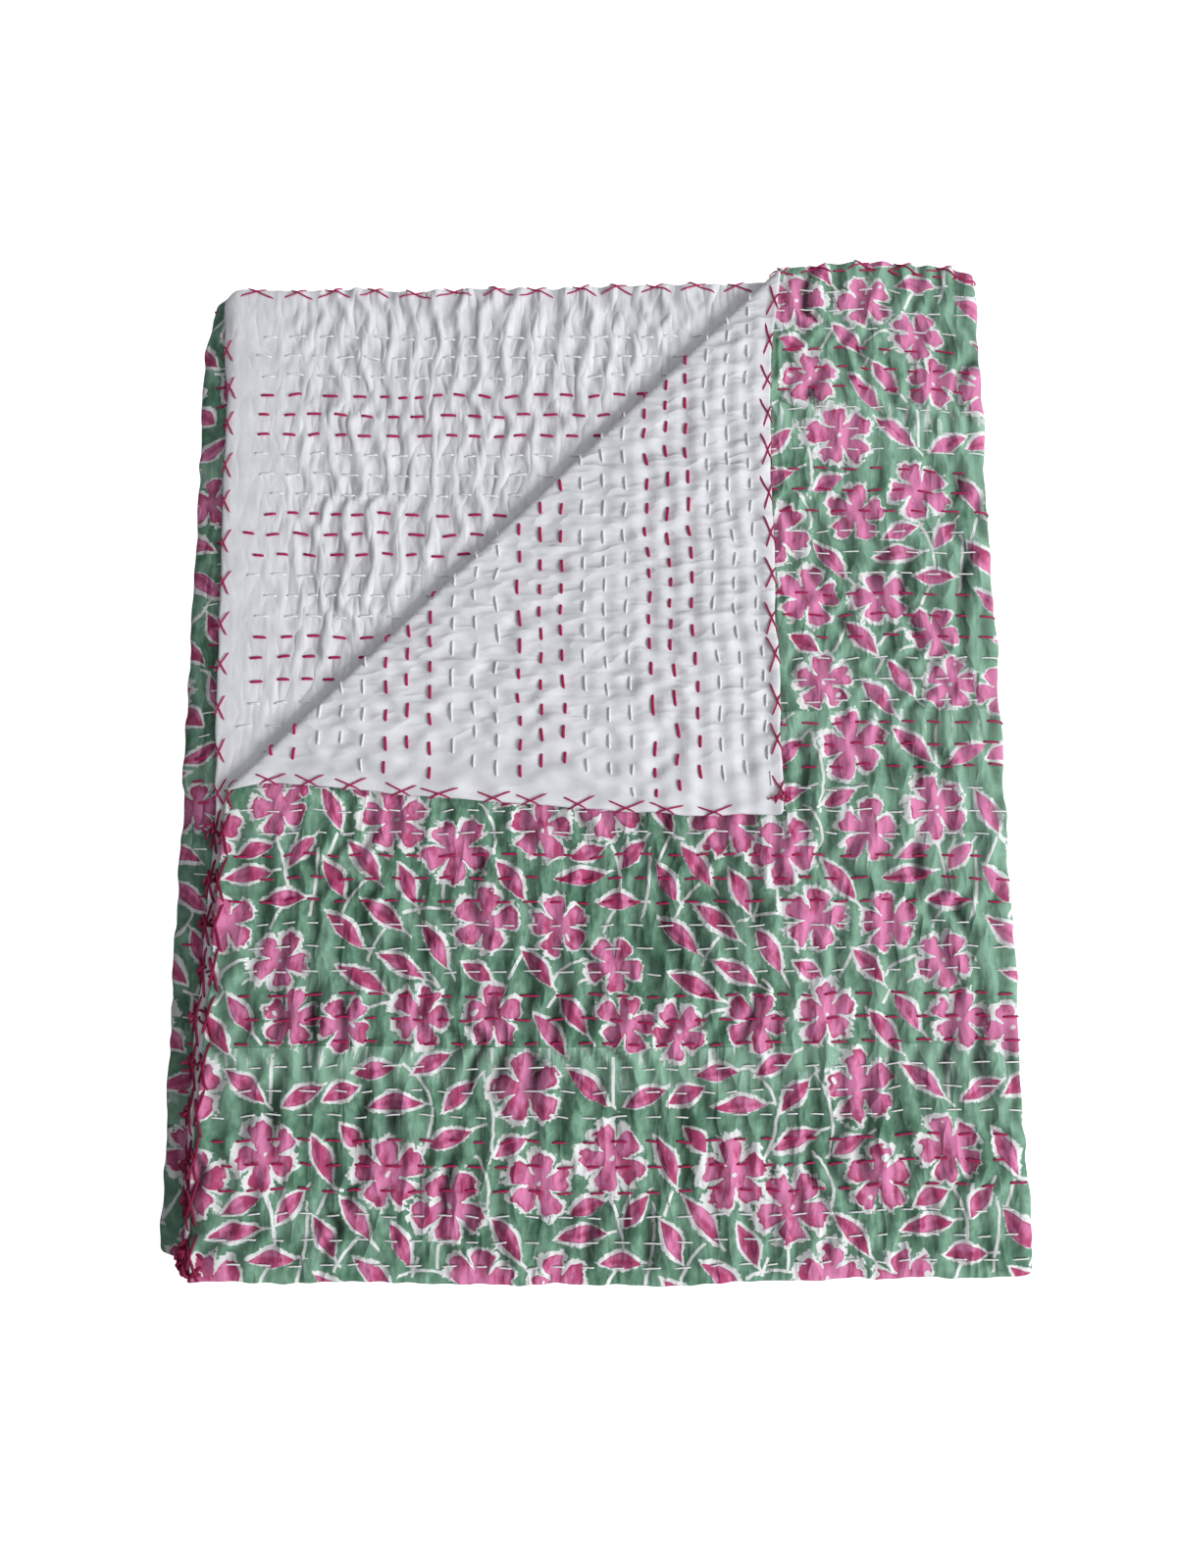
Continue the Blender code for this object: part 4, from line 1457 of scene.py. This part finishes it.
# The rail, the near bundle and the knots take the darker pink, which is painted shade.
rail_thread = thread_mesh("shaded_pink_rail_stitches", [rail_group, near_bundle, *rail_knots()],
                          thread_finish["shaded_pink"])

# %% [markdown]
# ## Floor
# The picture has a plain white ground without an edge. A white floor would throw a lot of
# light back on the cloth, so the floor is grey paper that only the camera sees as white.

# %% Floor
FLOOR_HALF = 3.0
FLOOR_Z = -0.0002
FLOOR_GREY = (0.70, 0.70, 0.70, 1.0)
FLOOR_SEEN = (1.0, 1.0, 1.0, 1.0)
PAPER_ROUGH, PAPER_SHINE = 0.9, 0.5
signs = np.array(((-1, -1), (1, -1), (1, 1), (-1, 1)))
floor_points = np.column_stack((FLOOR_HALF * signs, np.full(4, FLOOR_Z)))
floor = mesh_object("floor", floor_points, np.array([(0, 1, 2, 3)]))
paper, tree, inputs = matt_finish("pale_paper", PAPER_ROUGH, PAPER_SHINE)
inputs["Base Color"].default_value = FLOOR_GREY
inputs["Emission Color"].default_value = FLOOR_SEEN
join(tree, add_node(tree, "LightPath", output="Is Camera Ray"), inputs["Emission Strength"])
floor.data.materials.append(paper)

# %% [markdown]
# ## Light
# The light in the picture is soft and comes from the right. A small lamp would make hard
# shadows in the puckers, so two large ones stand far off, and a dim sky fills the rest.

# %% Light
SKY_COLOUR, SKY_STRENGTH = (0.95, 0.97, 1.0, 1.0), 0.20
scene = bpy.context.scene
scene.view_settings.view_transform = "Standard"
sky = bpy.data.worlds.new("soft_sky")
sky.use_nodes = True
sky_inputs = sky.node_tree.nodes["Background"].inputs
sky_inputs["Color"].default_value = SKY_COLOUR
sky_inputs["Strength"].default_value = SKY_STRENGTH
scene.world = sky


def soft_lamp(name, place, size, power):
    """A square lamp that faces the middle of the pile."""
    light = bpy.data.lights.new(name, "AREA")
    light.energy = power
    light.size = size
    lamp = bpy.data.objects.new(name, light)
    lamp.location = place
    direction = -np.array(place) / np.linalg.norm(place)
    lamp.rotation_euler = (math.acos(-direction[2]), 0.0, math.atan2(-direction[0], direction[1]))
    scene.collection.objects.link(lamp)


soft_lamp("low_right_lamp", place=(4.00, -1.82, 3.03), size=2.06, power=226.0)
soft_lamp("high_right_lamp", place=(2.4, 1.2, 4.1), size=3.9, power=48.0)
print("lamps and sky set")

# %% [markdown]
# ## Camera
# The camera looks down on the pile, tipped a little toward the near edge, as in the
# picture. Its lens follows from the picture's height and a focal length, both in pixels.

# %% Camera
FOCAL_PIXELS = 1200.0
PHOTO_HEIGHT = 1599.0
SENSOR_WIDTH = 36.0
NEAREST_SEEN = 0.01
CAMERA_DISTANCE = 0.724
CAMERA_TILT = math.radians(9.6)
AIM_ABOVE_PANEL = 0.003
view = bpy.data.cameras.new("camera")
view.sensor_width = SENSOR_WIDTH
view.lens = SENSOR_WIDTH * FOCAL_PIXELS / PHOTO_HEIGHT
view.clip_start = NEAREST_SEEN
camera = bpy.data.objects.new("camera", view)
aim = np.array((0.0, 0.0, TOP_PANEL_Z + AIM_ABOVE_PANEL)) - ORIGIN
camera.location = aim + CAMERA_DISTANCE * np.array((0.0, -math.sin(CAMERA_TILT), math.cos(CAMERA_TILT)))
camera.rotation_euler = (CAMERA_TILT, 0.0, 0.0)
scene.collection.objects.link(camera)
scene.camera = camera
print("camera at", np.array(camera.location).round(3))

# %% [markdown]
# ## Pieces on the body
# Every piece rides on the one body. The cloths stand for the plain solids, which are hidden, and the size
# that the quilt is cut to is worked out.

QUILT_WIDTH = 1.25
threads = [running["pink"], running["white"], edge_thread, rail_thread]
for piece in (printed_cloth, white_cloth, *threads):
    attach(piece, "root")
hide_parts("printed_face")
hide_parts("white_back")
quilt_size = (QUILT_WIDTH, round(THIRD_END - FIRST_EDGE_X, 3))
